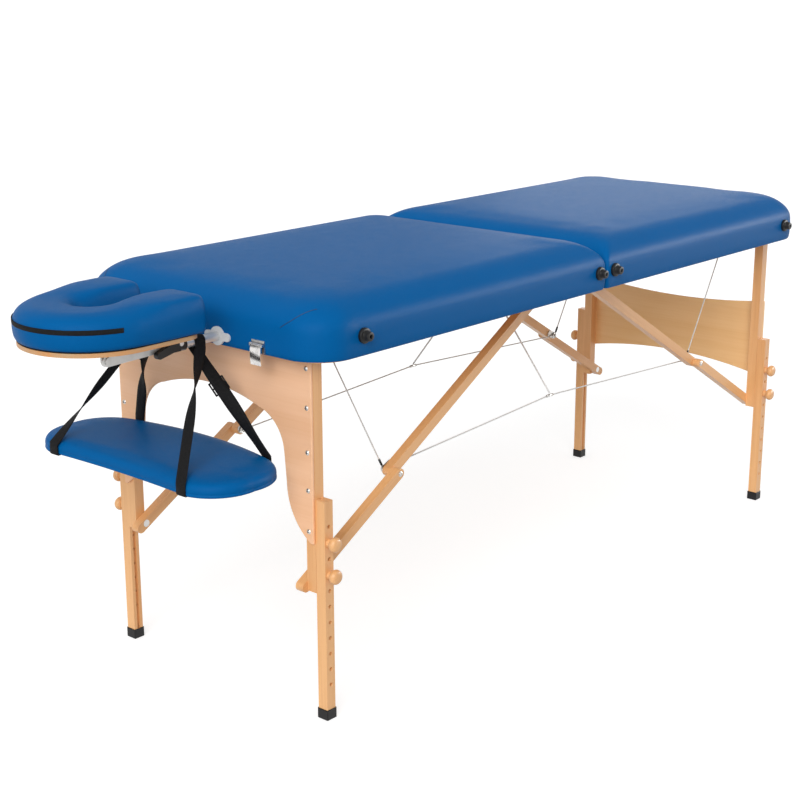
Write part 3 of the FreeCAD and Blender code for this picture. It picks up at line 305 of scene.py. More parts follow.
def vinyl_grain_group():
    """The fine pebbled grain of upholstery vinyl with slow changes of sheen; its creases are painted darker
    as painted shade.
    """
    tree, given = new_group(
        "Vinyl grain", Vinyl=(0.0, 0.1, 0.3, 1), Shade=(0.0, 0.06, 0.2, 1), Pebble=1.0)
    where = given["Vector"]
    creases = cells(tree, wobbled(tree, where, 260.0, 0.0016), 620.0, "DISTANCE_TO_EDGE")
    pebble = spread(tree, creases, 0.0, 0.16, 0.0, 1.0)
    slow = spread(tree, noise(tree, where, 9.0, 2.0), 0.35, 0.7, 0.0, 0.06)
    cloud = spread(tree, noise(tree, where, 46.0, 3.0), 0.3, 0.75, 0.36, 0.39)
    depth = times(tree, math_node(tree, "SUBTRACT", 1.0, pebble), given["Pebble"])
    # The creases are painted darker as painted shade, and a slow noise varies the tone at random.
    crease_shade_and_tone = math_node(tree, "ADD", times(tree, depth, 0.35), slow, clamp=True)
    colour = blend_colour(tree, crease_shade_and_tone, given["Vinyl"], given["Shade"])
    gloss = math_node(tree, "ADD", cloud, times(tree, depth, 0.12))
    return close_group(tree, colour, gloss, times(tree, pebble, given["Pebble"]))


def handled_group():
    """Light handling marks for plastic, rubber and metal: faint blotches and hair scratches."""
    tree, given = new_group(
        "Handled surface", Colour=(0.5, 0.5, 0.5, 1), Worn=(0.6, 0.6, 0.6, 1), Amount=0.3, Smooth=0.3)
    where = given["Vector"]
    blotch = spread(tree, noise(tree, where, 70.0, 4.0), 0.4, 0.75, 0.0, 1.0)
    hair = noise(tree, stretched(tree, where, (40.0, 700.0, 300.0)), 1.0, 2.0)
    scratch = spread(tree, hair, 0.6, 0.72, 0.0, 1.0)
    mark = times(tree, math_node(tree, "MAXIMUM", blotch, scratch), given["Amount"])
    colour = blend_colour(tree, mark, given["Colour"], given["Worn"])
    dull = math_node(tree, "ADD", given["Smooth"], times(tree, mark, 0.35), clamp=True)
    return close_group(tree, colour, dull, noise(tree, where, 900.0, 2.0))


def weave_group():
    """Narrow webbing: ribs across the strip and threads along it, on coordinates in metres."""
    tree, given = new_group(
        "Webbing weave", Thread=(0.01, 0.01, 0.01, 1), Glint=(0.05, 0.05, 0.05, 1), Pitch=620.0)
    parts = tree.nodes.new("ShaderNodeSeparateXYZ")
    tree.links.new(given["Vector"], parts.inputs[0])
    turns = times(tree, given["Pitch"], 2 * math.pi)
    ribs = math_node(tree, "SINE", times(tree, parts.outputs[1], turns))
    warp = math_node(tree, "SINE", times(tree, parts.outputs[0], turns))
    knot = math_node(tree, "ADD", times(tree, ribs, warp), times(tree, ribs, 0.6))
    lift = spread(tree, knot, -1.4, 1.4, 0.0, 1.0)
    fuzz = spread(tree, noise(tree, given["Vector"], 240.0, 3.0), 0.3, 0.8, 0.35, 1.0)
    colour = blend_colour(tree, times(tree, lift, fuzz), given["Thread"], given["Glint"])
    return close_group(tree, colour, spread(tree, lift, 0.0, 1.0, 0.85, 0.62), lift)


GROUP_MAKERS = {
    "Wood grain": wood_grain_group,
    "Vinyl grain": vinyl_grain_group,
    "Handled surface": handled_group,
    "Webbing weave": weave_group,
}


def surface_group(name):
    """A shared node group, built the first time that it is asked for."""
    return bpy.data.node_groups.get(name) or GROUP_MAKERS[name]()


# finishes


def opaque(colour, gain=1.0):
    """A colour with full alpha, made lighter or darker by a gain."""
    return (gain * colour[0], gain * colour[1], gain * colour[2], 1.0)


SHADER_SOCKETS = {
    "specular": "Specular IOR Level",
    "coat_weight": "Coat Weight",
    "coat_roughness": "Coat Roughness",
    "metallic": "Metallic",
}


def finish(name, group, values, bump, turn=(0, 0, 0), use_uv=False, **shader):
    """A material: one shared group on object or strip coordinates, a bump and the shader's values."""
    made = bpy.data.materials.get(name)
    if made:
        return made
    made = bpy.data.materials.new(name)
    made.use_nodes = True
    tree = made.node_tree
    principled = tree.nodes["Principled BSDF"]
    where = tree.nodes.new("ShaderNodeTexCoord")
    mapping = tree.nodes.new("ShaderNodeMapping")
    mapping.inputs["Rotation"].default_value = turn
    tree.links.new(where.outputs["UV" if use_uv else "Object"], mapping.inputs["Vector"])
    grain = tree.nodes.new("ShaderNodeGroup")
    grain.node_tree = surface_group(group)
    tree.links.new(mapping.outputs[0], grain.inputs["Vector"])
    for label, value in values.items():
        grain.inputs[label].default_value = value
    tree.links.new(grain.outputs["Color"], principled.inputs["Base Color"])
    tree.links.new(grain.outputs["Roughness"], principled.inputs["Roughness"])
    relief = tree.nodes.new("ShaderNodeBump")
    relief.inputs["Strength"].default_value, relief.inputs["Distance"].default_value = bump
    tree.links.new(grain.outputs["Height"], relief.inputs["Height"])
    tree.links.new(relief.outputs[0], principled.inputs["Normal"])
    for label, value in shader.items():
        principled.inputs[SHADER_SOCKETS[label]].default_value = value
    made.diffuse_color = opaque(next(iter(values.values())))
    return made


def vinyl():
    """Blue upholstery vinyl."""
    look = upholstery()
    values = {"Vinyl": opaque(look.vinyl), "Shade": opaque(look.painted_crease_shade), "Pebble": 1.0}
    return finish("Blue vinyl", "Vinyl grain", values, (0.22, 0.0006), specular=0.045)


def seam_shade_vinyl():
    """The folded edge of a sewn seam, painted darker as painted shade of its crease."""
    thread = opaque(upholstery().thread)
    values = {"Vinyl": thread, "Shade": thread, "Pebble": 0.6}
    return finish("Seam vinyl with painted shade", "Vinyl grain", values, (0.15, 0.0004))


GRAIN_TURNS = {
    "up": (0, math.pi / 2, 0),
    "across": (0, 0, -math.pi / 2),
    "along": (0, 0, 0),
}


def wood(name, colour, grain, streaks, flecks, bump, turn, **shader):
    """A timber finish with its grain turned one way."""
    values = {"Wood": opaque(colour), "Grain": opaque(grain), "Streaks": streaks, "Flecks": flecks}
    return finish(name, "Wood grain", values, bump, turn, **shader)


def beech(way, turn=None):
    """Lacquered beech with its grain along one way."""
    look = timber()
    return wood(
        f"Beech {way}", look.beech, look.beech_grain, 0.42, 0.55, (0.12, 0.0004),
        turn or GRAIN_TURNS[way], coat_weight=0.18, coat_roughness=0.25)


def panel_wood(end):
    """Lacquered plywood of an end panel, yellower at the foot."""
    look = timber()
    colours = (look.panel, look.panel_grain) if end == "head" else (look.band, look.band_grain)
    return wood(
        f"Panel plywood {end}", *colours, 0.5, 0.25, (0.1, 0.0004),
        GRAIN_TURNS["across"], coat_weight=0.22, coat_roughness=0.22)


def board_wood():
    """Bare plywood of decks and boards."""
    look = timber()
    return wood(
        "Bare plywood", look.board, look.beech_grain, 0.7, 0.4, (0.2, 0.0005), GRAIN_TURNS["along"])


def handled(name, colour, worn, amount, smooth, bump=(0.05, 0.0003), **shader):
    """A plastic, rubber or metal finish with light handling marks."""
    values = {"Colour": opaque(colour), "Worn": opaque(worn), "Amount": amount, "Smooth": smooth}
    return finish(name, "Handled surface", values, bump, **shader)


def rubber():
    """Moulded black rubber."""
    worn = (0.022, 0.022, 0.022)
    return handled("Black rubber", fittings().rubber, worn, 0.3, 0.42, (0.15, 0.0005), specular=0.3)


def black_plastic():
    """Moulded black nylon."""
    worn = (0.018, 0.018, 0.019)
    return handled("Black nylon", fittings().rubber, worn, 0.3, 0.34, (0.08, 0.0004), specular=0.35)


def white_plastic():
    """Smooth white moulded plastic."""
    return handled("White plastic", fittings().white_plastic, (0.7, 0.69, 0.66), 0.3, 0.28)


def grey_bar():
    """Satin flat bar of the cradle."""
    return handled("Grey flat bar", fittings().grey_bar, (0.45, 0.45, 0.44), 0.3, 0.36, metallic=0.55)


def steel():
    """Zinc plated steel."""
    return handled("Plated steel", fittings().steel, (0.42, 0.4, 0.37), 0.4, 0.3, metallic=1.0)


def bright_steel():
    """Bright plated steel."""
    return handled("Bright steel", (0.78, 0.77, 0.75), (0.62, 0.6, 0.57), 0.3, 0.14, metallic=1.0)


def satin_rod():
    """Satin plated tube of the cradle's rods."""
    return handled("Satin rod", (0.74, 0.74, 0.73), (0.6, 0.6, 0.59), 0.3, 0.34, metallic=0.55)


def painted_recess_shade():
    """Flat dark colour, painted shade in place of the depth of a recess."""
    return handled("Painted recess shade", (0.02, 0.02, 0.02), (0.05, 0.05, 0.05), 0.4, 0.6)


def grey_thread():
    """Sewing thread of the carrying straps."""
    return handled("Grey thread", (0.09, 0.09, 0.095), (0.05, 0.05, 0.05), 0.4, 0.7)


def woven(name, thread, glint, pitch, bump, **shader):
    """A woven or twisted finish on the coordinates of a strip."""
    values = {"Thread": thread, "Glint": glint, "Pitch": pitch}
    return finish(name, "Webbing weave", values, bump, use_uv=True, **shader)


def cable_wire():
    """Twisted wire of the stays."""
    look = fittings().steel
    return woven("Stay wire", opaque(look, 1.15), opaque(look, 1.5), 210.0, (0.2, 0.0003))


def elastic_cord():
    """White braided elastic."""
    look = fittings().elastic
    return woven("White elastic", opaque(look, 0.9), opaque(look), 330.0, (0.3, 0.0004))


def webbing():
    """Black woven webbing."""
    glint = (0.020, 0.020, 0.021, 1.0)
    return woven(
        "Black webbing", opaque(fittings().webbing), glint, 420.0, (0.55, 0.0005), specular=0.15)


# making of pieces


def smooth_shaded(mesh):
    """Shade every face of a mesh smooth."""
    mesh.polygons.foreach_set("use_smooth", [True] * len(mesh.polygons))


def new_piece(name, vertices, faces, material, strip=None):
    """A mesh object in the table's own frame; strip gives coordinates across and along."""
    mesh = bpy.data.meshes.new(name)
    mesh.from_pydata([tuple(point) for point in vertices], [], faces)
    mesh.update()
    smooth_shaded(mesh)
    if strip is not None:
        layer = mesh.uv_layers.new(name="Strip")
        for loop in mesh.loops:
            layer.data[loop.index].uv = strip[loop.vertex_index]
    mesh.materials.append(material)
    made = bpy.data.objects.new(name, mesh)
    bpy.context.scene.collection.objects.link(made)
    return made


@contextmanager
def opened(obj):
    """The mesh of a piece, opened for editing and written back afterwards."""
    form = bmesh.new()
    form.from_mesh(obj.data)
    yield form
    form.to_mesh(obj.data)
    form.free()


def outward(obj):
    """Turn all faces of a closed piece outwards."""
    with opened(obj) as form:
        bmesh.ops.recalc_face_normals(form, faces=form.faces)
    return obj


def seat(obj, body, slot, *nodes):
    """Fix a piece to its body and hide the nodes that it stands for; the slot for its finish is not used."""
    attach(obj, body)
    if nodes:
        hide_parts(*nodes)
    return obj


def skin_faces(rings, size):
    """Faces between neighbouring closed rings of one size each."""
    faces = []
    for start in range(0, (rings - 1) * size, size):
        for i in range(size):
            j = (i + 1) % size
            faces.append((start + i, start + j, start + size + j, start + size + i))
    return faces


def capped_faces(rings, size):
    """Faces between rings, with the first and the last ring closed."""
    last = (rings - 1) * size
    caps = [tuple(range(size)), tuple(range(last + size - 1, last - 1, -1))]
    return skin_faces(rings, size) + caps


def square_axes(axis):
    """Two directions square to an axis and to each other."""
    axis = axis.normalized()
    other = UP if abs(axis.z) < 0.9 else ALONG
    first = axis.cross(other).normalized()
    return first, axis.cross(first)


def circle(first, second, count):
    """Angles all round, each with its direction in the plane of two square ones."""
    angles = [2 * math.pi * i / count for i in range(count)]
    return [(angle, first * math.cos(angle) + second * math.sin(angle)) for angle in angles]


SHARP_EDGE = math.radians(40)


def turned(name, profile, origin, axis, material, segments=36):
    """A turned piece: pairs of radius and distance along an axis."""
    around = circle(*square_axes(axis), segments)
    axis = axis.normalized()
    vertices = [origin + axis * distance + out * radius for radius, distance in profile for _, out in around]
    made = outward(new_piece(name, vertices, capped_faces(len(profile), segments), material))
    made.data.set_sharp_from_angle(angle=SHARP_EDGE)
    return made


def line_steps(points):
    """Each point of a line, with the way it runs there and the length up to it."""
    run = 0.0
    for i, point in enumerate(points):
        before = points[max(i - 1, 0)]
        after = points[min(i + 1, len(points) - 1)]
        run += (point - before).length
        yield point, (after - before).normalized(), run


WIRE_TWIST = 0.35


def wire(name, points, radius, material, sides=10):
    """A round wire or cord along a line of points."""
    vertices, strip = [], []
    side = square_axes(points[1] - points[0])[0]
    for point, way, run in line_steps(points):
        side = (side - way * side.dot(way)).normalized()
        for angle, out in circle(side, way.cross(side), sides):
            vertices.append(point + out * radius)
            strip.append((radius * angle + run * WIRE_TWIST, run))
    return outward(new_piece(name, vertices, capped_faces(len(points), sides), material, strip))


RIBBON_SHAPE = [
    (-0.5, -0.5), (-0.5, 0.5), (-0.25, 0.5), (0, 0.5), (0.25, 0.5), (0.5, 0.5), (0.5, -0.5),
    (0.25, -0.5), (0, -0.5), (-0.25, -0.5),
]
SELVEDGE = 0.72


def strap_axes(across, way):
    """The directions of a strap's width and of its face, where it runs one way."""
    flat = (across - way * across.dot(way)).normalized()
    return flat, flat.cross(way)


def ribbon(name, stations, width, thick, material):
    """Webbing through stations, each a point and the direction of the strap's width."""
    vertices, strip = [], []
    points, widths = zip(*stations)
    for (point, way, run), across in zip(line_steps(points), widths):
        flat, face = strap_axes(across, way)
        for u, w in RIBBON_SHAPE:
            edge = SELVEDGE if abs(u) == 0.5 else 1.0
            vertices.append(point + flat * (u * width) + face * (w * thick * edge))
            strip.append((u * width, run))
    faces = capped_faces(len(stations), len(RIBBON_SHAPE))
    return outward(new_piece(name, vertices, faces, material, strip))


def joined(name, pieces):
    """One named object out of several that share a body."""
    first = pieces[0]
    with bpy.context.temp_override(active_object=first, selected_editable_objects=pieces):
        bpy.ops.object.join()
    first.name = name
    return first


def point_values(mesh, label):
    """Places or normals at the points of a mesh, as an array."""
    flat = np.empty(len(mesh.vertices) * 3)
    mesh.vertices.foreach_get(label, flat)
    return flat.reshape(-1, 3)


def set_coordinates(mesh, points):
    """Write an array of points back to a mesh."""
    mesh.vertices.foreach_set("co", points.astype(np.float32).ravel())
    mesh.update()


def eased(values, low, high):
    """A smooth rise from 0 to 1 between two values."""
    share = np.clip((values - low) / (high - low), 0, 1)
    return share * share * (3 - 2 * share)


def evened(values, mesh, passes):
    """Values at the points of a mesh, each drawn towards the mean of its neighbours."""
    ends = np.empty(len(mesh.edges) * 2, int)
    mesh.edges.foreach_get("vertices", ends)
    first, second = ends.reshape(-1, 2).T
    size = len(values)
    count = np.bincount(ends, minlength=size)
    for _ in range(passes):
        total = np.bincount(first, values[second], size) + np.bincount(second, values[first], size)
        values = 0.5 * values + 0.5 * total / np.maximum(count, 1)
    return values


SWELL_PASSES = 12
CLOTH_FRAMES = 20
CLOTH_STIFFNESS = 18.0
CLOTH_BENDING = 2.0
CLOTH_MASS = 0.3
CLOTH_QUALITY = 6


def inflate(obj, pressure, cap, held_below):
    """Swell a skin by simulated cloth, each point only outwards and within a cap of its place."""
    rest = point_values(obj.data, "co")
    cloth = obj.modifiers.new("Swell", "CLOTH")
    settings = cloth.settings
    settings.quality = CLOTH_QUALITY
    settings.mass = CLOTH_MASS
    settings.tension_stiffness = CLOTH_STIFFNESS
    settings.compression_stiffness = CLOTH_STIFFNESS
    settings.shear_stiffness = CLOTH_STIFFNESS / 2
    settings.bending_stiffness = CLOTH_BENDING
    settings.use_pressure = True
    settings.uniform_pressure_force = pressure
    settings.effector_weights.gravity = 0.0
    cloth.collision_settings.use_collision = False
    held = obj.vertex_groups.new(name="Held")
    held.add(np.nonzero(rest[:, 2] < held_below)[0].tolist(), 1.0, "REPLACE")
    settings.vertex_group_mass = "Held"
    cloth.point_cache.frame_start = 1
    cloth.point_cache.frame_end = CLOTH_FRAMES
    scene = bpy.context.scene
    for step in range(1, CLOTH_FRAMES + 1):
        scene.frame_set(step)
    swollen = obj.evaluated_get(bpy.context.evaluated_depsgraph_get()).to_mesh()
    moved = point_values(swollen, "co") - rest
    obj.modifiers.remove(cloth)
    scene.frame_set(1)
    normals = point_values(obj.data, "normal")
    out = np.maximum((moved * normals).sum(axis=1), 0)
    out = evened(cap * np.tanh(out / cap), obj.data, SWELL_PASSES)
    set_coordinates(obj.data, rest + normals * out[:, None])


def remeshed(obj, voxel):
    """Replace a mesh by an even skin of small squares."""
    evener = obj.modifiers.new("Even skin", "REMESH")
    evener.mode = "VOXEL"
    evener.voxel_size = voxel
    evener.use_smooth_shade = True
    even = bpy.data.meshes.new_from_object(obj.evaluated_get(bpy.context.evaluated_depsgraph_get()))
    obj.modifiers.remove(evener)
    material = obj.data.materials[0]
    obj.data = even
    even.materials.clear()
    even.materials.append(material)


def rounded(obj):
    """A subdivision surface over a soft piece."""
    smooth = obj.modifiers.new("Soft surface", "SUBSURF")
    smooth.levels = 1
    smooth.render_levels = 1


def nearest_places(obj, points):
    """The nearest place on a piece as it shows, and its normal, for each of some points."""
    tree = BVHTree.FromObject(obj, bpy.context.evaluated_depsgraph_get())
    return [tree.find_nearest(point)[:2] for point in points]


# plans


def curve_through(points, steps):
    """Points of a smooth curve through given points, with a number of steps to each span."""
    points = np.array(points, float)
    padded = np.vstack([2 * points[0] - points[1], points, 2 * points[-1] - points[-2]])
    found = []
    for i in range(1, len(padded) - 2):
        p0, p1, p2, p3 = padded[i - 1:i + 3]
        for k in range(steps):
            t = k / steps
            found.append(0.5 * (2 * p1 + (p2 - p0) * t + (2 * p0 - 5 * p1 + 4 * p2 - p3) * t ** 2
                                + (3 * p1 - p0 - 3 * p2 + p3) * t ** 3))
    found.append(points[-1])
    return [tuple(point) for point in found]


def arc_points(centre, radius, start, sweep, steps):
    """Points round an arc in plan, without its last point."""
    angles = [math.radians(start + sweep * i / steps) for i in range(steps)]
    return [(centre[0] + radius * math.cos(a), centre[1] + radius * math.sin(a)) for a in angles]


def run_points(start, end, steps):
    """Points along a straight run in plan, without its last point."""
    return [
        (start[0] + (end[0] - start[0]) * i / steps, start[1] + (end[1] - start[1]) * i / steps)
        for i in range(steps)
    ]


def three_point_arc(first, middle, last, steps):
    """Points of the arc through three points of a plan, without the last one."""
    a, b, c = (complex(*point) for point in (first, middle, last))
    w = (c - a) / (b - a)
    centre = (b - a) * (w - abs(w) ** 2) / (2j * w.imag) + a
    start, through, stop = (
        math.atan2((point - centre).imag, (point - centre).real) for point in (a, b, c))
    through = (through - start) % (2 * math.pi)
    stop = (stop - start) % (2 * math.pi)
    sweep = stop if through < stop else stop - 2 * math.pi
    return arc_points(
        (centre.real, centre.imag), abs(a - centre), math.degrees(start), math.degrees(sweep), steps)


# upholstered halves


PAD_PROFILE = [
    (0.7770, 0.0000), (0.7895, 0.0006), (0.8010, 0.0022), (0.8128, 0.0072), (0.8250, 0.0170),
    (0.8368, 0.0318), (0.8441, 0.0460), (0.8482, 0.0610), (0.8500, 0.0780), (0.8508, 0.0980),
    (0.8512, 0.1200),
]
SKIRT_PROFILE = [
    (0.7367, 0.0170), (0.7367, 0.0040), (0.7385, 0.0022), (0.7425, 0.0010), (0.7480, 0.0003),
    (0.7560, 0.0), (0.7665, 0.0),
]
TOP_Z, TOP_INSET = PAD_PROFILE[-1]
PROFILE_STEPS = 2
BUTT_GAP = 0.0015
BUTT_RADIUS = 0.008
BUTT_SPREAD = 0.4
CORNER_FALL = 0.55
CORNER_STEPS = 10
BUTT_STEPS = 4
LENGTH_STEPS = 62
WIDTH_STEPS = 46
WELD_SKIN = 1e-5


def half_ring(inset):
    """The plan of one half, as distance from the hinge and place across, at an inset."""
    look = upholstery()
    far = look.half_length - inset
    near = BUTT_GAP + inset
    side = look.width / 2 - inset
    left = max(1 - inset / TOP_INSET, 0.0)
    wide = look.corner_radius * left ** CORNER_FALL
    tight = (BUTT_RADIUS + BUTT_SPREAD * inset) * min(1.0, 3 * left)
    ring = run_points((near, tight - side), (near, side - tight), WIDTH_STEPS)
    ring += arc_points((near + tight, side - tight), tight, 180, -90, BUTT_STEPS)
    ring += run_points((near + tight, side), (far - wide, side), LENGTH_STEPS)
    ring += arc_points((far - wide, side - wide), wide, 90, -90, CORNER_STEPS)
    ring += run_points((far, side - wide), (far, wide - side), WIDTH_STEPS)
    ring += arc_points((far - wide, wide - side), wide, 0, -90, CORNER_STEPS)
    ring += run_points((far - wide, -side), (near + tight, -side), LENGTH_STEPS)
    ring += arc_points((near + tight, tight - side), tight, 270, -90, BUTT_STEPS)
    return ring


def wrapped_sides(way):
    """The sides and the rounding of one half, open below the padding where the halves meet."""
    levels = SKIRT_PROFILE + curve_through(PAD_PROFILE, PROFILE_STEPS)
    rings = [half_ring(inset) for _, inset in levels]
    vertices = [at(way * x, y, z) for (z, _), ring in zip(levels, rings) for x, y in ring]
    size = len(rings[0])
    faces = [
        face for index, face in enumerate(skin_faces(len(levels), size))
        if index >= len(SKIRT_PROFILE) * size or index % size >= WIDTH_STEPS
    ]
    return vertices, faces


def crowned_top(way, start):
    """The gently crowned field inside the rounding; its points are numbered from a start."""
    look = upholstery()
    low, high = BUTT_GAP + TOP_INSET, look.half_length - TOP_INSET
    side = look.width / 2 - TOP_INSET
    vertices, faces = [], []
    row = WIDTH_STEPS + 1
    for i in range(LENGTH_STEPS + 1):
        for k in range(row):
            a, b = i / LENGTH_STEPS, k / WIDTH_STEPS
            rise = look.crown * (1 - (2 * a - 1) ** 4) * (1 - (2 * b - 1) ** 4)
            vertices.append(at(way * (low + (high - low) * a), side * (2 * b - 1), TOP_Z + rise))
            if i < LENGTH_STEPS and k < WIDTH_STEPS:
                first = start + i * row + k
                faces.append((first, first + 1, first + row + 1, first + row))
    return vertices, faces


def half_skin(end):
    """The vinyl skin of one half: wrapped sides, a wide rounding and a slightly crowned top."""
    vertices, faces = wrapped_sides(ENDS[end])
    top_vertices, top_faces = crowned_top(ENDS[end], len(vertices))
    made = new_piece(f"{end}_upholstery", vertices + top_vertices, faces + top_faces, vinyl())
    with opened(made) as form:
        bmesh.ops.remove_doubles(form, verts=form.verts, dist=WELD_SKIN)
        loose = [vertex for vertex in form.verts if not vertex.link_faces]
        bmesh.ops.delete(form, geom=loose, context="VERTS")
        bmesh.ops.recalc_face_normals(form, faces=form.faces)
        if sum(face.normal.z * face.calc_area() for face in form.faces) < 0:
            bmesh.ops.reverse_faces(form, faces=form.faces)
    smooth_shaded(made.data)
    return made


HALF_PRESSURE = 2.5
HELD_BELOW = 0.784
FREE_ABOVE = 0.815
BUTT_HELD = 0.006
BUTT_FREE = 0.060


def swell_half(made):
    """Let the foam press the skin out, held along the bottom edge and at the hinge."""
    rest = point_values(made.data, "co")
    inflate(made, HALF_PRESSURE, upholstery().swell, HELD_BELOW)
    moved = point_values(made.data, "co") - rest
    from_hinge = np.abs(rest[:, 0] - HINGE_X)
    share = eased(rest[:, 2], HELD_BELOW, FREE_ABOVE) * eased(from_hinge, BUTT_HELD, BUTT_FREE)
    set_coordinates(made.data, rest + moved * share[:, None])


SEAM_STEPS = 40
SEAM_START = -0.15
SEAM_SPAN = 0.60
SEAM_ARCH = 1.3
SEAM_INSET = 0.001
SEAM_BOW = 0.030
SEAM_Z = 0.797
SEAM_RISE = 0.038
SEAM_RADIUS = 0.0008
SEAM_LIFT = 0.015 * SEAM_RADIUS


def corner_seam(made, end, side):
    """The bowed seam of the gusset sewn into one outer corner."""
    look = upholstery()
    centre = look.half_length - look.corner_radius
    middle = look.width / 2 - look.corner_radius
    points = []
    for i in range(SEAM_STEPS + 1):
        t = SEAM_START + SEAM_SPAN * i / SEAM_STEPS
        bow = math.sin(math.pi * (t - SEAM_START) / SEAM_ARCH)
        angle = math.radians(90 * max(t, 0))
        reach = look.corner_radius - SEAM_INSET - SEAM_BOW * bow
        x = centre + reach * math.cos(angle)
        y = middle + (2 * look.corner_radius * t if t < 0 else reach * math.sin(angle))
        points.append(at(ENDS[end] * x, SIDES[side] * y, SEAM_Z + SEAM_RISE * bow))
    resting = [place + normal * SEAM_LIFT for place, normal in nearest_places(made, points)]
    # The seam's wire is painted darker as painted shade of its crease.
    return wire(f"{end}_{side}_corner_seam", resting, SEAM_RADIUS, seam_shade_vinyl(), sides=8)


class MASSAGE_OT_halves(Operator):
    """Upholster both halves in vinyl over foam, with the gusset seams at the outer corners."""

    bl_idname = "massage_table.halves"
    bl_label = "Upholstered halves"

    def execute(self, context):
        for end in ENDS:
            made = half_skin(end)
            swell_half(made)
            rounded(made)
            seat(made, f"{end}_section", "vinyl", f"{end}_pad", f"{end}_skirt")
            for side in SIDES:
                seat(corner_seam(made, end, side), f"{end}_section", "vinyl")
        return {"FINISHED"}


# face cushion and arm shelf


SKIN_VOXEL = 0.0045
SKIN_PASSES = 4
HELD_RIM = 0.003


def stuffed(name, ring_at, profile, cap, pressure):
    """A padded piece: rings lofted, evened into a fine skin, smoothed and swollen by cloth."""
    levels = curve_through(profile, PROFILE_STEPS)
    rings = [ring_at(inset) for _, inset in levels]
    vertices = [at(x, y, z) for (z, _), ring in zip(levels, rings) for x, y in ring]
    made = outward(new_piece(name, vertices, capped_faces(len(levels), len(rings[0])), vinyl()))
    remeshed(made, SKIN_VOXEL)
    with opened(made) as form:
        for _ in range(SKIN_PASSES):
            bmesh.ops.smooth_vert(
                form, verts=form.verts, factor=0.5, use_axis_x=True, use_axis_y=True, use_axis_z=True)
    smooth_shaded(made.data)
    inflate(made, pressure, cap, profile[0][0] + HELD_RIM)
    return made


CUSHION_NOSE = -1.155
CUSHION_BAY = -1.140
CUSHION_TAIL = -1.0
CUSHION_OUTER = 0.145
CUSHION_INNER = 0.038
CUSHION_TAIL_RADIUS = 0.014
CUSHION_LEAST = 0.001
NOSE_STEPS = 60
BAY_STEPS = 40
SIDE_STEPS = 20
TURN_STEPS = 10
END_STEPS = 6
CUSHION_PROFILE = [
    (0.7868, 0.010), (0.7895, 0.0050), (0.7949, 0.0028), (0.8097, 0.0008), (0.8267, 0.0010),
    (0.8422, 0.0064), (0.8533, 0.0175), (0.8590, 0.0335),
]
CUSHION_SWELL = 0.004
CUSHION_PRESSURE = 3.0
TAIL_FULLNESS = 0.25
TAIL_EASE = (-1.17, -1.09)
NOSE_DROP = 0.09
NOSE_EASE = (-1.24, -1.08)


def horseshoe_ring(inset):
    """The plan of the face cushion at an inset: a horseshoe open towards the table."""
    outer, inner = CUSHION_OUTER - inset, CUSHION_INNER + inset
    end = min(CUSHION_TAIL_RADIUS, (outer - inner) / 2 - CUSHION_LEAST)
    tail = CUSHION_TAIL - inset - end
    ring = arc_points((CUSHION_NOSE, 0), outer, 90, 180, NOSE_STEPS)
    ring += run_points((CUSHION_NOSE, -outer), (tail, -outer), SIDE_STEPS)
    ring += arc_points((tail, end - outer), end, 270, 90, TURN_STEPS)
    ring += run_points((tail + end, end - outer), (tail + end, -inner - end), END_STEPS)
    ring += arc_points((tail, -inner - end), end, 0, 90, TURN_STEPS)
    ring += run_points((tail, -inner), (CUSHION_BAY, -inner), SIDE_STEPS)
    ring += arc_points((CUSHION_BAY, 0), inner, 270, -180, BAY_STEPS)
    ring += run_points((CUSHION_BAY, inner), (tail, inner), SIDE_STEPS)
    ring += arc_points((tail, inner + end), end, 270, 90, TURN_STEPS)
    ring += run_points((tail + end, inner + end), (tail + end, outer - end), END_STEPS)
    ring += arc_points((tail, outer - end), end, 0, 90, TURN_STEPS)
    ring += run_points((tail, outer), (CUSHION_NOSE, outer), SIDE_STEPS)
    return ring


def cushion_ring(inset):
    """The horseshoe with fuller edges at its tails than at its nose."""
    ring = []
    for domed, square in zip(horseshoe_ring(inset), horseshoe_ring(inset * TAIL_FULLNESS)):
        share = float(eased(np.array(domed[0]), *TAIL_EASE))
        ring.append(tuple(a + (b - a) * share for a, b in zip(domed, square)))
    return ring


def lower_nose(made):
    """Let the cushion fall off a little towards its nose."""
    points = point_values(made.data, "co")
    share = 1 - eased(points[:, 0] - HINGE_X, *NOSE_EASE)
    rise = np.maximum(points[:, 2] - CUSHION_PROFILE[0][0], 0)
    points[:, 2] -= rise * NOSE_DROP * share
    set_coordinates(made.data, points)


BAND_Z = 0.8250
BAND_WIDTH = 0.009
BAND_THICK = 0.0016
BAND_OFF = 0.0006
BAND_DEGREES = range(86, 256, 2)
STRIP_INSET = 0.0085
STRIP_Z = 0.7876
STRIP_RADIUS = 0.0014


def cushion_band(made):
    """The black closing band round the outer side of the face cushion."""
    points = []
    for degrees in BAND_DEGREES:
        angle = math.radians(degrees)
        x = CUSHION_NOSE + CUSHION_OUTER * math.cos(angle)
        points.append(at(x, CUSHION_OUTER * math.sin(angle), BAND_Z))
    stations = []
    for place, normal in nearest_places(made, points):
        level = Vector((normal.x, normal.y, 0)).normalized()
        stations.append((place + level * BAND_OFF, UP))
    return ribbon("cushion_band", stations, BAND_WIDTH, BAND_THICK, webbing())


def cushion_strip():
    """The fine black strip all round under the face cushion."""
    points = [at(x, y, STRIP_Z) for x, y in horseshoe_ring(STRIP_INSET)]
    points.append(points[0])
    return wire("cushion_strip", points, STRIP_RADIUS, webbing(), sides=6)


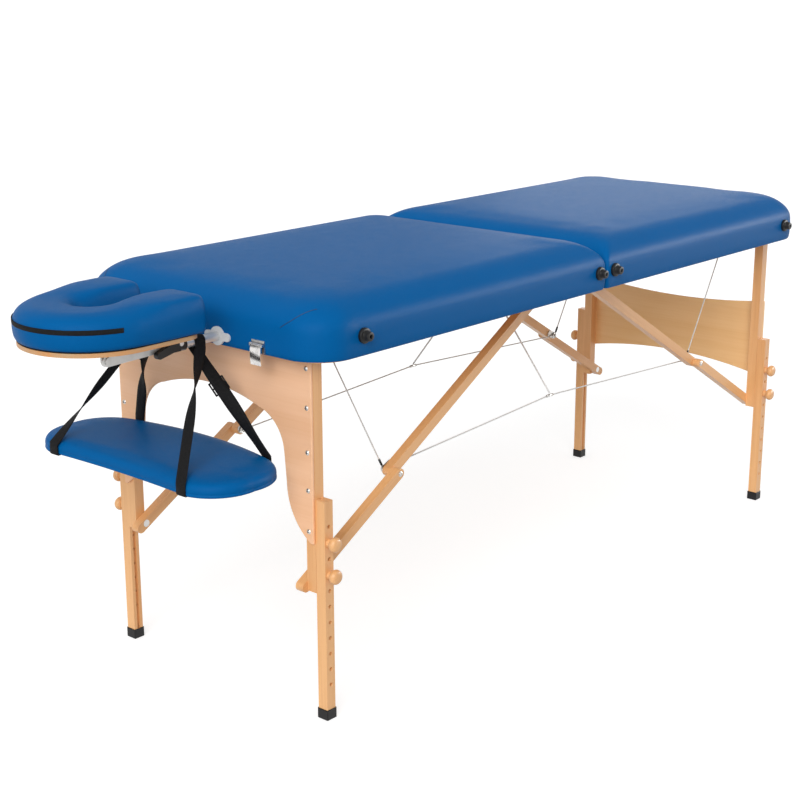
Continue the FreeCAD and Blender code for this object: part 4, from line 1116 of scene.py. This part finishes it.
class MASSAGE_OT_face_cushion(Operator):
    """Make the horseshoe face cushion with its closing band and the black strip under it."""

    bl_idname = "massage_table.face_cushion"
    bl_label = "Face cushion"

    def execute(self, context):
        made = stuffed("face_cushion", cushion_ring, CUSHION_PROFILE, CUSHION_SWELL, CUSHION_PRESSURE)
        lower_nose(made)
        rounded(made)
        seat(made, "cradle_platform", "vinyl", "cradle_cushion")
        seat(cushion_band(made), "cradle_platform", "webbing")
        seat(cushion_strip(), "cradle_platform", "webbing")
        return {"FINISHED"}


SHELF_FRONT = -1.122
SHELF_WAIST = -1.114
SHELF_BACK = -0.887
SHELF_BACK_END = -0.914
SHELF_SHOULDER = 0.205
SHELF_TIP = 0.275
SHELF_TIP_X = -1.02
EDGE_STEPS = 50
TIP_STEPS = 16
SHELF_PROFILE = [
    (0.5124, 0.0020), (0.5150, 0.0), (0.5210, -0.0006), (0.5270, 0.0), (0.5330, 0.0030),
    (0.5370, 0.0085), (0.5395, 0.0180), (0.5405, 0.0320),
]
SHELF_SWELL = 0.003
SHELF_PRESSURE = 2.0
HEM_PROFILE = [
    (0.5200, 0.0030), (0.5175, 0.0006), (0.5150, 0.0), (0.5128, 0.0001), (0.5118, 0.0010),
    (0.51155, 0.0030), (0.51155, 0.0150),
]
HEM_THICK = 0.0003


def shelf_ring(inset):
    """The plan of the arm shelf at an inset: a bowed back edge, round ends and a hollow front."""
    front, back = SHELF_FRONT + inset, SHELF_BACK_END - inset
    tip, shoulder = SHELF_TIP - inset, SHELF_SHOULDER
    slant = math.sqrt(0.5)
    turn = shoulder + (tip - shoulder) * slant
    front_turn, back_turn = (SHELF_TIP_X + (x - SHELF_TIP_X) * slant for x in (front, back))
    ring = three_point_arc((back, -shoulder), (SHELF_BACK - inset, 0), (back, shoulder), EDGE_STEPS)
    ring += three_point_arc((back, shoulder), (back_turn, turn), (SHELF_TIP_X, tip), TIP_STEPS)
    ring += three_point_arc((SHELF_TIP_X, tip), (front_turn, turn), (front, shoulder), TIP_STEPS)
    ring += three_point_arc((front, shoulder), (SHELF_WAIST + inset, 0), (front, -shoulder), EDGE_STEPS)
    ring += three_point_arc((front, -shoulder), (front_turn, -turn), (SHELF_TIP_X, -tip), TIP_STEPS)
    ring += three_point_arc((SHELF_TIP_X, -tip), (back_turn, -turn), (back, -shoulder), TIP_STEPS)
    return ring


def shelf_hem():
    """The vinyl of the arm shelf turned under the edge of its board."""
    vertices = [at(x, y, z) for z, inset in HEM_PROFILE for x, y in shelf_ring(inset)]
    faces = skin_faces(len(HEM_PROFILE), len(shelf_ring(0.0)))
    made = new_piece("shelf_hem", vertices, faces, vinyl())
    thick = made.modifiers.new("Cloth thickness", "SOLIDIFY")
    thick.thickness = HEM_THICK
    thick.offset = 0.0
    return made


class MASSAGE_OT_arm_shelf(Operator):
    """Make the padded top of the hanging arm shelf and its hem."""

    bl_idname = "massage_table.arm_shelf"
    bl_label = "Arm shelf pad"

    def execute(self, context):
        made = stuffed("shelf_upholstery", shelf_ring, SHELF_PROFILE, SHELF_SWELL, SHELF_PRESSURE)
        rounded(made)
        seat(made, "cradle", "vinyl", "arm_shelf_pad")
        seat(shelf_hem(), "cradle", "vinyl")
        return {"FINISHED"}


# straps


STRAP_X = -0.975
ROD_Y = 0.078
ROD_Z = 0.756
SADDLE_RADIUS = 0.0103
SADDLE_STEPS = 12
DROP_Z = 0.744
STRAP_Y = 0.188
LIP_Z = 0.5326
EDGE_HEIGHTS = (0.5125, 0.5225)
BAND_UNDER_Z = 0.5107
UNDER_SHARES = (0.5, 0.25, 0.08)
UNDER_TUCK = 0.0007
FRONT_X = -1.12295
BACK_X = -0.9054
RUN_STEPS = 28
FRONT_TWISTS = {"near": (1, 0.0, 0.6), "far": (1, 0.4, 1.0)}
BACK_TWISTS = {"near": (-1, 0.08, 0.92), "far": (1, 0.1, 0.7)}
SLIDER_STATION = {"near": 10, "far": 5}
SLIDER_SIZE = (0.031, 0.026, 0.0018)
SLIDER_OFF = 0.003
DOUBLED_FIRST = 2
DOUBLED_STATIONS = 3
DOUBLED_OFF = 1.15


def strap_run(side, saddle, edge_x, twist):
    """A strap from one side of the rod to the shelf's edge, turning a quarter on the way."""
    sign = SIDES[side]
    top = at(STRAP_X, sign * (ROD_Y + saddle * SADDLE_RADIUS), DROP_Z)
    foot = at(edge_x, sign * STRAP_Y, LIP_Z)
    way, begin, end = twist
    stations = []
    for i in range(RUN_STEPS + 1):
        t = i / RUN_STEPS
        turn = math.radians(90) * eased(np.array(t), begin, end)
        stations.append((top.lerp(foot, t), ALONG * math.cos(turn) + ACROSS * (way * math.sin(turn))))
    return stations


def front_run(side):
    """The strap from the outer side of the rod to the shelf's front edge."""
    return strap_run(side, 1, FRONT_X, FRONT_TWISTS[side])


def back_run(side):
    """The strap from the inner side of the rod to the shelf's back edge."""
    return strap_run(side, -1, BACK_X, BACK_TWISTS[side])


def under_shelf(side, edge, other, way):
    """A strap from under the middle of the shelf out to one edge and up it."""
    places = [(edge + (other - edge) * share, BAND_UNDER_Z) for share in UNDER_SHARES]
    places.append((edge + math.copysign(UNDER_TUCK, other - edge), BAND_UNDER_Z))
    places += [(edge, z) for z in EDGE_HEIGHTS]
    return [(at(x, SIDES[side] * STRAP_Y, z), ACROSS * way) for x, z in places]


def strap_loop(side):
    """One strap: under the shelf, up in front, over the rod and down to the back edge."""
    loop = under_shelf(side, FRONT_X, BACK_X, FRONT_TWISTS[side][0])
    loop += reversed(front_run(side))
    for i in range(SADDLE_STEPS + 1):
        angle = math.pi * i / SADDLE_STEPS
        y = SIDES[side] * (ROD_Y + SADDLE_RADIUS * math.cos(angle))
        loop.append((at(STRAP_X, y, ROD_Z + SADDLE_RADIUS * math.sin(angle)), ALONG))
    loop += back_run(side)
    loop += reversed(under_shelf(side, BACK_X, FRONT_X, BACK_TWISTS[side][0]))
    return loop


def slider(name, place, across, way):
    """A flat slider of three bars that a strap is threaded through."""
    width, height, thick = SLIDER_SIZE
    material = black_plastic()
    points = [place + across * (u * width / 2) + way * (w * height / 2) for u, w in SQUARE + SQUARE[:1]]
    pieces = []
    for i in range(4):
        span = (points[i + 1] - points[i]).normalized() * thick * 0.5
        ends = [points[i] - span, points[i + 1] + span]
        pieces.append(wire(f"{name}_{i}", ends, thick, material, sides=8))
    bar = across * (width / 2)
    centre = place + across.cross(way) * thick
    pieces.append(wire(f"{name}_bar", [centre - bar, centre + bar], thick, material, sides=8))
    return joined(name, pieces)


class MASSAGE_OT_straps(Operator):
    """Hang the arm shelf from the rods by two webbing straps with sliders."""

    bl_idname = "massage_table.straps"
    bl_label = "Shelf straps"

    def execute(self, context):
        look = fittings()
        size = (look.strap_width, look.strap_thick)
        straps = []
        for side in SIDES:
            straps.append(ribbon(f"strap_{side}", strap_loop(side), *size, webbing()))
            run = back_run(side)
            way = (run[-1][0] - run[0][0]).normalized()
            station = SLIDER_STATION[side]
            doubled = []
            for point, across in run[DOUBLED_FIRST:station + DOUBLED_STATIONS]:
                flat, face = strap_axes(across, way)
                doubled.append((point + face * (look.strap_thick * DOUBLED_OFF), flat))
            straps.append(ribbon(f"strap_{side}_double", doubled, *size, webbing()))
            place, across = run[station]
            flat, face = strap_axes(across, way)
            made = slider(f"strap_{side}_slider", place + face * SLIDER_OFF, flat, way)
            seat(made, "cradle", "black_plastic")
        for strap in straps:
            seat(strap, "cradle", "webbing")
        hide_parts("shelf_straps")
        return {"FINISHED"}


# timber


BRACE_TOP = (0.050, 0.751)
BRACE_FOOT = (0.860, 0.280)
BRACE_SLOPE = math.atan2(BRACE_TOP[1] - BRACE_FOOT[1], BRACE_FOOT[0] - BRACE_TOP[0])
KNUCKLE_X = 0.5957
KNUCKLE_Z = 0.4337
BRACE_FACE_Y = 0.2577
BOLT_PROFILE = [
    (0.0060, 0.0), (0.0060, 0.0006), (0.0057, 0.0008), (0.0043, 0.0008), (0.0043, 0.0018),
    (0.0038, 0.0026), (0.0030, 0.0029), (0.0019, 0.0030), (0.0017, 0.0012),
]
SKIN_JOIN = 0.00002
FACE_WEIGHT = 80


def soften(obj, width, segments):
    """A small round on the edges of a hard piece."""
    bevel = obj.modifiers.new("Edge round", "BEVEL")
    bevel.width = width
    bevel.segments = segments
    bevel.limit_method = "ANGLE"
    bevel.angle_limit = SHARP_EDGE
    bevel.harden_normals = True


def dress(node, material, edge=0.0, segments=2):
    """Give a carried-over solid its finish and a fine round on its edges."""
    obj = frame["nodes"][node]
    obj.data.materials.clear()
    obj.data.materials.append(material)
    carried = obj.data.attributes.get("custom_normal")
    if carried:
        obj.data.attributes.remove(carried)
    smooth_shaded(obj.data)
    weld = obj.modifiers.new("Closed skin", "WELD")
    weld.merge_threshold = SKIN_JOIN
    if edge:
        soften(obj, edge, segments)
    even = obj.modifiers.new("Flat faces", "WEIGHTED_NORMAL")
    even.mode = "FACE_AREA"
    even.weight = FACE_WEIGHT
    return obj


class MASSAGE_OT_legs(Operator):
    """Finish the legs, their knobs and the rubber feet."""

    bl_idname = "massage_table.legs"
    bl_label = "Legs, knobs and feet"

    def execute(self, context):
        for end in ENDS:
            dress(f"{end}_upper_legs", beech("up"), 0.0016)
            for side in SIDES:
                dress(f"{end}_{side}_lower_leg", beech("up"), 0.0014)
                dress(f"{end}_{side}_foot_cap", rubber(), 0.0018, 3)
                for place in ("low", "high"):
                    dress(f"{end}_{side}_{place}_knob", beech("across"), 0.0006)
        return {"FINISHED"}


class MASSAGE_OT_braces(Operator):
    """Finish the folding braces with the grain along them, and bolt their knuckles."""

    bl_idname = "massage_table.braces"
    bl_label = "Braces"

    def execute(self, context):
        for end, way in ENDS.items():
            sticks = beech(f"{end} brace", (0, -way * BRACE_SLOPE, 0))
            dress(f"{end}_upper_braces", sticks, 0.0018)
            dress(f"{end}_lower_braces", sticks, 0.0018)
            for side, sign in SIDES.items():
                face = at(way * KNUCKLE_X, sign * BRACE_FACE_Y, KNUCKLE_Z)
                name = f"{end}_{side}_knuckle_bolt"
                bolt = turned(name, BOLT_PROFILE, face, ACROSS * sign, steel(), segments=28)
                seat(bolt, f"{end}_lower_braces", "steel")
        return {"FINISHED"}


class MASSAGE_OT_boards(Operator):
    """Finish the end panels, decks, rails and blocks."""

    bl_idname = "massage_table.boards"
    bl_label = "Panels, decks and rails"

    def execute(self, context):
        for end in ENDS:
            dress(f"{end}_panel", panel_wood(end), 0.0018, 3)
            dress(f"{end}_deck", board_wood())
            dress(f"{end}_rails", beech("along"), 0.001)
            dress(f"{end}_pivot_blocks", beech("along"), 0.0008)
        dress("cradle_base", board_wood(), 0.0008)
        dress("arm_shelf_board", board_wood(), 0.0006)
        return {"FINISHED"}


# fittings


def islands(obj):
    """The lowest and highest corner of each separate body of a node."""
    points = point_values(obj.data, "co")
    keys = {}
    same = [keys.setdefault(tuple(np.round(point, 5)), i) for i, point in enumerate(points)]
    parent = list(range(len(points)))

    def root(i):
        while parent[i] != i:
            parent[i] = parent[parent[i]]
            i = parent[i]
        return i

    for face in obj.data.polygons:
        first = root(same[face.vertices[0]])
        for vertex in face.vertices[1:]:
            parent[root(same[vertex])] = first
    groups = {}
    for i, point in enumerate(points):
        groups.setdefault(root(same[i]), []).append(point)
    return [(np.min(group, axis=0), np.max(group, axis=0)) for group in groups.values()]


# Size of the flat dark cross painted as shade in each screw's recess.
RECESS_LENGTH = 0.0052
RECESS_WIDTH = 0.0011
RECESS_LIFT = 0.00012
SCREW_HEAD_MOST = 0.013


def cross_recess_shade(name, place, axis):
    """The cross recess of a screw head, drawn as a flat dark cross of painted shade laid in its face."""
    first, second = square_axes(axis)
    vertices = []
    for long_way, short_way in ((first, second), (second, first)):
        for u, w in SQUARE:
            flat = long_way * (u * RECESS_LENGTH / 2) + short_way * (w * RECESS_WIDTH / 2)
            vertices.append(place + flat + axis * RECESS_LIFT)
    return new_piece(name, vertices, [(0, 1, 2, 3), (4, 5, 6, 7)], painted_recess_shade())


class MASSAGE_OT_fasteners(Operator):
    """Finish hinges, brackets and hooks, and lay the cross recess of each panel screw as a flat dark cross of
    painted shade.
    """

    bl_idname = "massage_table.fasteners"
    bl_label = "Hinges, screws and hooks"

    def execute(self, context):
        for end, way in ENDS.items():
            dress(f"{end}_hardware", steel(), 0.0003)
            dress(f"{end}_cable_hooks", steel(), 0.0004)
            fasteners = dress(f"{end}_leg_fasteners", steel(), 0.0005)
            cross_shades = []
            for low, high in islands(fasteners):
                span = high - low
                if np.argmin(span) == 0 and max(span) <= SCREW_HEAD_MOST:
                    middle = (low + high) / 2
                    place = Vector((low[0] if way < 0 else high[0], middle[1], middle[2]))
                    cross_shades.append(cross_recess_shade(f"{end}_recess_{len(cross_shades)}", place, ALONG * way))
            if cross_shades:
                seat(joined(f"{end}_screw_cross_shades", cross_shades), f"{end}_legs", "steel")
        dress("hinge_pins", steel(), 0.0003)
        return {"FINISHED"}


BUMPER_PROFILE = [
    (0.0146, -0.0010), (0.0150, 0.0006), (0.0150, 0.0048), (0.0145, 0.0062), (0.0133, 0.0070),
    (0.0104, 0.0072), (0.0098, 0.0080), (0.0093, 0.0150), (0.0090, 0.0176), (0.0083, 0.0189),
    (0.0072, 0.0193), (0.0042, 0.0193), (0.0036, 0.0186), (0.0032, 0.0100),
]
BUMPERS = {"head": (-0.805, -0.030), "foot": (0.823, 0.030)}
BUMPER_Z = 0.778


class MASSAGE_OT_bumpers(Operator):
    """Turn the stepped rubber bumpers of the near side."""

    bl_idname = "massage_table.bumpers"
    bl_label = "Bumpers"

    def execute(self, context):
        side = upholstery().width / 2
        for end, places in BUMPERS.items():
            bumpers = [
                turned(f"{end}_bumper_{i}", BUMPER_PROFILE, at(x, -side, BUMPER_Z), -ACROSS, rubber())
                for i, x in enumerate(places)
            ]
            made = joined(f"{end}_rubber_bumpers", bumpers)
            seat(made, f"{end}_section", "rubber", f"{end}_bumpers")
        return {"FINISHED"}


HANDLE_X = 0.46
HANDLE_HALF = 0.095
HANDLE_FLAT = 0.024
HANDLE_Z = 0.778
HANDLE_WIDTH = 0.028
HANDLE_THICK = 0.0024
HANDLE_OUT = 0.0135
HANDLE_SEAT = 0.0013
HANDLE_RISE = 0.75
HANDLE_STEPS = 44
STITCH_NEAR = 0.004
STITCH_FAR = 0.020
STITCH_ROUTE = [
    (STITCH_NEAR, -1), (STITCH_FAR, -1), (STITCH_FAR, 1), (STITCH_NEAR, 1),
    (STITCH_NEAR, -1), (STITCH_FAR, 1), (STITCH_FAR, -1), (STITCH_NEAR, 1),
]
STITCH_SPREAD = 0.38
STITCH_PITCH = 0.0032
STITCH_SHOWN = (0.12, 0.80)
STITCH_RADIUS = 0.0003
STITCH_LIFT = 0.0001


def handle_stations(way):
    """A carrying strap: sewn flat at both ends and standing off in between."""
    side = upholstery().width / 2
    free = HANDLE_HALF - HANDLE_FLAT
    stations = []
    for i in range(HANDLE_STEPS + 1):
        x = -HANDLE_HALF + 2 * HANDLE_HALF * i / HANDLE_STEPS
        share = max(0.0, 1 - (abs(x) / free) ** 2)
        out = HANDLE_OUT * float(eased(np.array(share), 0.0, HANDLE_RISE))
        stations.append((at(way * HANDLE_X + x, side + HANDLE_SEAT + out, HANDLE_Z), UP))
    return stations


def stitches(name, stations):
    """Rows of thread in a crossed box on the sewn ends of a carrying strap."""
    off = ACROSS * (HANDLE_THICK / 2 + STITCH_LIFT)
    threads = []
    for place, inward in ((stations[0][0], 1), (stations[-1][0], -1)):
        line = [
            place + ALONG * (inward * x) + UP * (v * HANDLE_WIDTH * STITCH_SPREAD) + off
            for x, v in STITCH_ROUTE
        ]
        for first, last in zip(line, line[1:]):
            count = max(2, int((last - first).length / STITCH_PITCH))
            for k in range(count):
                shown = [first.lerp(last, (k + share) / count) for share in STITCH_SHOWN]
                label = f"{name}_{len(threads)}"
                threads.append(wire(label, shown, STITCH_RADIUS, grey_thread(), sides=6))
    return joined(name, threads)


class MASSAGE_OT_handles(Operator):
    """Sew the two webbing carrying straps to the far side."""

    bl_idname = "massage_table.handles"
    bl_label = "Carrying straps"

    def execute(self, context):
        for end, way in ENDS.items():
            stations = handle_stations(way)
            made = ribbon(f"{end}_carrying_strap", stations, HANDLE_WIDTH, HANDLE_THICK, webbing())
            seat(made, f"{end}_section", "webbing", f"{end}_handle")
            seat(stitches(f"{end}_strap_stitches", stations), f"{end}_section", "webbing")
        return {"FINISHED"}


CABLE_Y = 0.210
CABLE_TOP_X = 0.800
CABLE_TOP_Z = 0.797
CRIMP_Z = 0.468
CRIMP_LENGTH = 0.022
CRIMP_RADIUS = 0.0032
ELASTIC_X = -0.011
ELASTIC_LOW_Z = 0.473
ELASTIC_TOP_Y = 0.004
ELASTIC_TOP_Z = 0.735
ELASTIC_RADIUS = 0.002
SHORT_STEPS = 24
LONG_STEPS = 40
EYE_LIFT = 0.002
EYE_RADIUS = 0.006
SLEEVE_SPAN = (0.010, 0.026)
SLEEVE_RADIUS = 0.0026
FERRULE_SPAN = (0.010, 0.022)
FERRULE_RADIUS = 0.0025


def straight(first, last, steps):
    """Even points from one place to another."""
    return [first.lerp(last, i / steps) for i in range(steps + 1)]


def eye_points(centre):
    """The closed ring of a stay's eye, in the upright plane along the table."""
    angles = [math.radians(degrees) for degrees in range(0, 361, 15)]
    return [centre + (ALONG * math.cos(a) + UP * math.sin(a)) * EYE_RADIUS for a in angles]


def span_from(eye, target, span):
    """The two ends of a fitting on a stay, at distances from its eye."""
    way = (target - eye).normalized()
    return [eye + way * distance for distance in span]


def stay_pieces(end, side):
    """The wires, the steel ends and the sleeve of the stays on one side of one half."""
    name = f"{end}_{side}"
    radius = fittings().cable_radius
    y = SIDES[side] * CABLE_Y
    eye = at(ENDS[end] * KNUCKLE_X, y, KNUCKLE_Z + EYE_LIFT)
    top = at(ENDS[end] * CABLE_TOP_X, y, CABLE_TOP_Z)
    crimp = [at(-CRIMP_LENGTH, y, CRIMP_Z), at(0.0, y, CRIMP_Z)]
    middle = crimp[0] if end == "head" else crimp[1]
    wires = [
        wire(f"{name}_short_stay", straight(eye, top, SHORT_STEPS), radius, cable_wire()),
        wire(f"{name}_long_stay", straight(eye, middle, LONG_STEPS), radius, cable_wire()),
    ]
    ferrule = span_from(eye, middle, FERRULE_SPAN)
    ends = [
        wire(f"{name}_stay_eye", eye_points(eye), radius, steel()),
        wire(f"{name}_stay_ferrule", ferrule, FERRULE_RADIUS, steel()),
    ]
    if end == "head":
        ends.append(wire(f"{name}_stay_crimp", crimp, CRIMP_RADIUS, steel(), sides=16))
    sleeve = span_from(eye, top, SLEEVE_SPAN)
    return wires, ends, [wire(f"{name}_stay_sleeve", sleeve, SLEEVE_RADIUS, black_plastic())]


def elastic_line(side):
    """One elastic cord, from the crimp of its side up to the hinge line."""
    sign = SIDES[side]
    low = at(ELASTIC_X, sign * CABLE_Y, ELASTIC_LOW_Z)
    top = at(ELASTIC_X, sign * ELASTIC_TOP_Y, ELASTIC_TOP_Z)
    return wire(f"{side}_elastic", straight(low, top, SHORT_STEPS), ELASTIC_RADIUS, elastic_cord())


class MASSAGE_OT_stays(Operator):
    """Stretch the stay cables from the knuckles to the deck and to the middle, with the elastic."""

    bl_idname = "massage_table.stays"
    bl_label = "Stay cables"

    def execute(self, context):
        for end in ENDS:
            near, far = (stay_pieces(end, side) for side in SIDES)
            wires, ends, sleeves = (first + second for first, second in zip(near, far))
            body = f"{end}_section"
            folding = [
                seat(joined(f"{end}_stays", wires), body, "cable", f"{end}_cables"),
                seat(joined(f"{end}_stay_ends", ends), body, "steel"),
                seat(joined(f"{end}_stay_sleeves", sleeves), body, "black_plastic"),
            ]
            if end == "head":
                cords = joined("stay_elastic", [elastic_line(side) for side in SIDES])
                folding.append(seat(cords, "head_section", "cable"))
            for piece in folding:
                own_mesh(piece)
        return {"FINISHED"}


class MASSAGE_OT_cradle(Operator):
    """Finish the cradle's rods, bushes, clamps, lever, arms and plates, and the latches."""

    bl_idname = "massage_table.cradle"
    bl_label = "Cradle fittings and latches"

    def execute(self, context):
        dress("rod_bushes", white_plastic(), 0.0006)
        dress("cradle_rods", satin_rod(), 0.0008)
        dress("cradle_clamps", black_plastic(), 0.0012, 3)
        dress("cam_lever", black_plastic(), 0.0012, 3)
        dress("cradle_arms", grey_bar(), 0.0005)
        dress("cradle_plates", grey_bar(), 0.0004)
        for side in SIDES:
            dress(f"latch_lever_{side}", bright_steel(), 0.0004)
        return {"FINISHED"}


# stage


FLOOR_REACH = 60.0
FLOOR_Z = -0.0004
FLOOR_GLOW = 0.70
WORLD_LEVEL = 0.52
WORLD_GLOSS = 0.75
WHITE = (1, 1, 1, 1)
LAMPS = [
    ("Key", "SUN", (-4.2, -2.6, 3.6), (0, 0, 0.6), 1.8, {"angle": math.radians(40)}),
    ("Head fill", "SUN", (-5.0, -0.8, 1.2), (0, 0, 0.6), 0.5, {"angle": math.radians(60)}),
    ("Far box", "AREA", (5.2, 2.6, 1.75), (0.5, 0.0, 0.8), 13.0,
     {"shape": "RECTANGLE", "size": 2.2, "size_y": 0.9}),
    ("Side box", "AREA", (3.6, -2.6, 1.35), (0.2, -0.3, 0.8), 180.0,
     {"shape": "RECTANGLE", "size": 2.4, "size_y": 0.6}),
]
SENSOR_WIDTH = 36.0
CAMERA_REACH = 200.0


def paint_floor(colour):
    """A pale floor that is white to the camera and keeps the shadow of the table."""
    made = bpy.data.materials.new("Studio floor")
    made.use_nodes = True
    tree = made.node_tree
    tree.nodes.clear()
    out = tree.nodes.new("ShaderNodeOutputMaterial")
    matt = tree.nodes.new("ShaderNodeBsdfDiffuse")
    matt.inputs["Color"].default_value = opaque(colour)
    glow = tree.nodes.new("ShaderNodeEmission")
    glow.inputs["Color"].default_value = WHITE
    path = tree.nodes.new("ShaderNodeLightPath").outputs
    seen = math_node(tree, "MAXIMUM", path["Is Camera Ray"], path["Is Glossy Ray"])
    seen = math_node(tree, "MAXIMUM", seen, path["Is Transmission Ray"])
    tree.links.new(times(tree, seen, FLOOR_GLOW), glow.inputs["Strength"])
    total = tree.nodes.new("ShaderNodeAddShader")
    tree.links.new(matt.outputs[0], total.inputs[0])
    tree.links.new(glow.outputs[0], total.inputs[1])
    tree.links.new(total.outputs[0], out.inputs["Surface"])
    return made


def light_world():
    """An even surround that is white where it is seen."""
    world = bpy.data.worlds.new("Studio")
    bpy.context.scene.world = world
    world.use_nodes = True
    tree = world.node_tree
    tree.nodes.clear()
    out = tree.nodes.new("ShaderNodeOutputWorld")
    sky = tree.nodes.new("ShaderNodeBackground")
    sky.inputs["Color"].default_value = WHITE
    path = tree.nodes.new("ShaderNodeLightPath").outputs
    seen = math_node(tree, "MAXIMUM", path["Is Camera Ray"], path["Is Transmission Ray"])
    seen = math_node(tree, "MAXIMUM", seen, times(tree, path["Is Glossy Ray"], WORLD_GLOSS))
    level = math_node(tree, "MAXIMUM", seen, WORLD_LEVEL)
    tree.links.new(level, sky.inputs["Strength"])
    tree.links.new(sky.outputs[0], out.inputs["Surface"])


def lamp(name, kind, place, target, energy, settings):
    """A lamp at a place, aimed at a target; a box lamp is there for its reflection alone."""
    data = bpy.data.lights.new(name, kind)
    data.energy = energy
    for label, value in settings.items():
        setattr(data, label, value)
    made = bpy.data.objects.new(name, data)
    made.location = at(*place)
    made.rotation_euler = (at(*target) - at(*place)).to_track_quat("-Z", "Y").to_euler()
    made.visible_camera = False
    made.visible_diffuse = kind == "SUN"
    bpy.context.scene.collection.objects.link(made)


def place_camera(look):
    """The camera at the place and with the turn of the stage settings."""
    data = bpy.data.cameras.new("Camera")
    data.lens = look.lens
    data.sensor_width = SENSOR_WIDTH
    data.sensor_fit = "HORIZONTAL"
    data.clip_end = CAMERA_REACH
    camera = bpy.data.objects.new("Camera", data)
    camera.location = at(*look.camera_place)
    turn = Matrix.Rotation(-look.yaw, 3, "Z") @ Matrix.Rotation(math.pi / 2 - look.pitch, 3, "X")
    turn = turn @ Matrix.Rotation(look.roll, 3, "Z")
    camera.rotation_euler = turn.to_euler()
    bpy.context.scene.collection.objects.link(camera)
    bpy.context.scene.camera = camera


class MASSAGE_OT_stage(Operator):
    """Set up the pale floor, the soft light and the camera."""

    bl_idname = "massage_table.stage"
    bl_label = "Stage"

    def execute(self, context):
        look = context.scene.massage_stage
        corners = [(x * FLOOR_REACH, y * FLOOR_REACH, FLOOR_Z) for x, y in SQUARE]
        floor = new_piece("studio_floor", corners, [(0, 1, 2, 3)], paint_floor(look.floor))
        light_world()
        for settings in LAMPS:
            lamp(*settings)
        place_camera(look)
        context.scene.view_settings.view_transform = "Standard"
        return {"FINISHED"}


OPERATORS = (
    MASSAGE_OT_stage, MASSAGE_OT_halves, MASSAGE_OT_face_cushion, MASSAGE_OT_arm_shelf,
    MASSAGE_OT_straps, MASSAGE_OT_legs, MASSAGE_OT_braces, MASSAGE_OT_boards, MASSAGE_OT_fasteners,
    MASSAGE_OT_bumpers, MASSAGE_OT_handles, MASSAGE_OT_stays, MASSAGE_OT_cradle,
)
SETTINGS = {
    "massage_upholstery": UpholsterySettings,
    "massage_timber": TimberSettings,
    "massage_fittings": FittingSettings,
    "massage_stage": StageSettings,
}


class MASSAGE_PT_panel(Panel):
    """Lists the settings and the pieces of the massage table."""

    bl_label = "Massage table"
    bl_idname = "MASSAGE_PT_panel"
    bl_space_type = "VIEW_3D"
    bl_region_type = "UI"
    bl_category = "Massage table"

    def draw(self, context):
        for name, group in SETTINGS.items():
            box = self.layout.box()
            box.label(text=group.__doc__)
            for label in group.__annotations__:
                box.prop(getattr(context.scene, name), label)
        for operator in OPERATORS:
            self.layout.operator(operator.bl_idname)


def register():
    """Register the settings, the operators and the panel."""
    for name, group in SETTINGS.items():
        bpy.utils.register_class(group)
        setattr(bpy.types.Scene, name, PointerProperty(type=group))
    for kind in OPERATORS + (MASSAGE_PT_panel,):
        bpy.utils.register_class(kind)


def unregister():
    """Take the panel, the operators and the settings away again."""
    for kind in reversed(OPERATORS + (MASSAGE_PT_panel,)):
        bpy.utils.unregister_class(kind)
    for name, group in SETTINGS.items():
        delattr(bpy.types.Scene, name)
        bpy.utils.unregister_class(group)


def main():
    """Build every piece in order."""
    register()
    for operator in OPERATORS:
        group, name = operator.bl_idname.split(".")
        getattr(getattr(bpy.ops, group), name)()


if __name__ == "__main__":
    main()
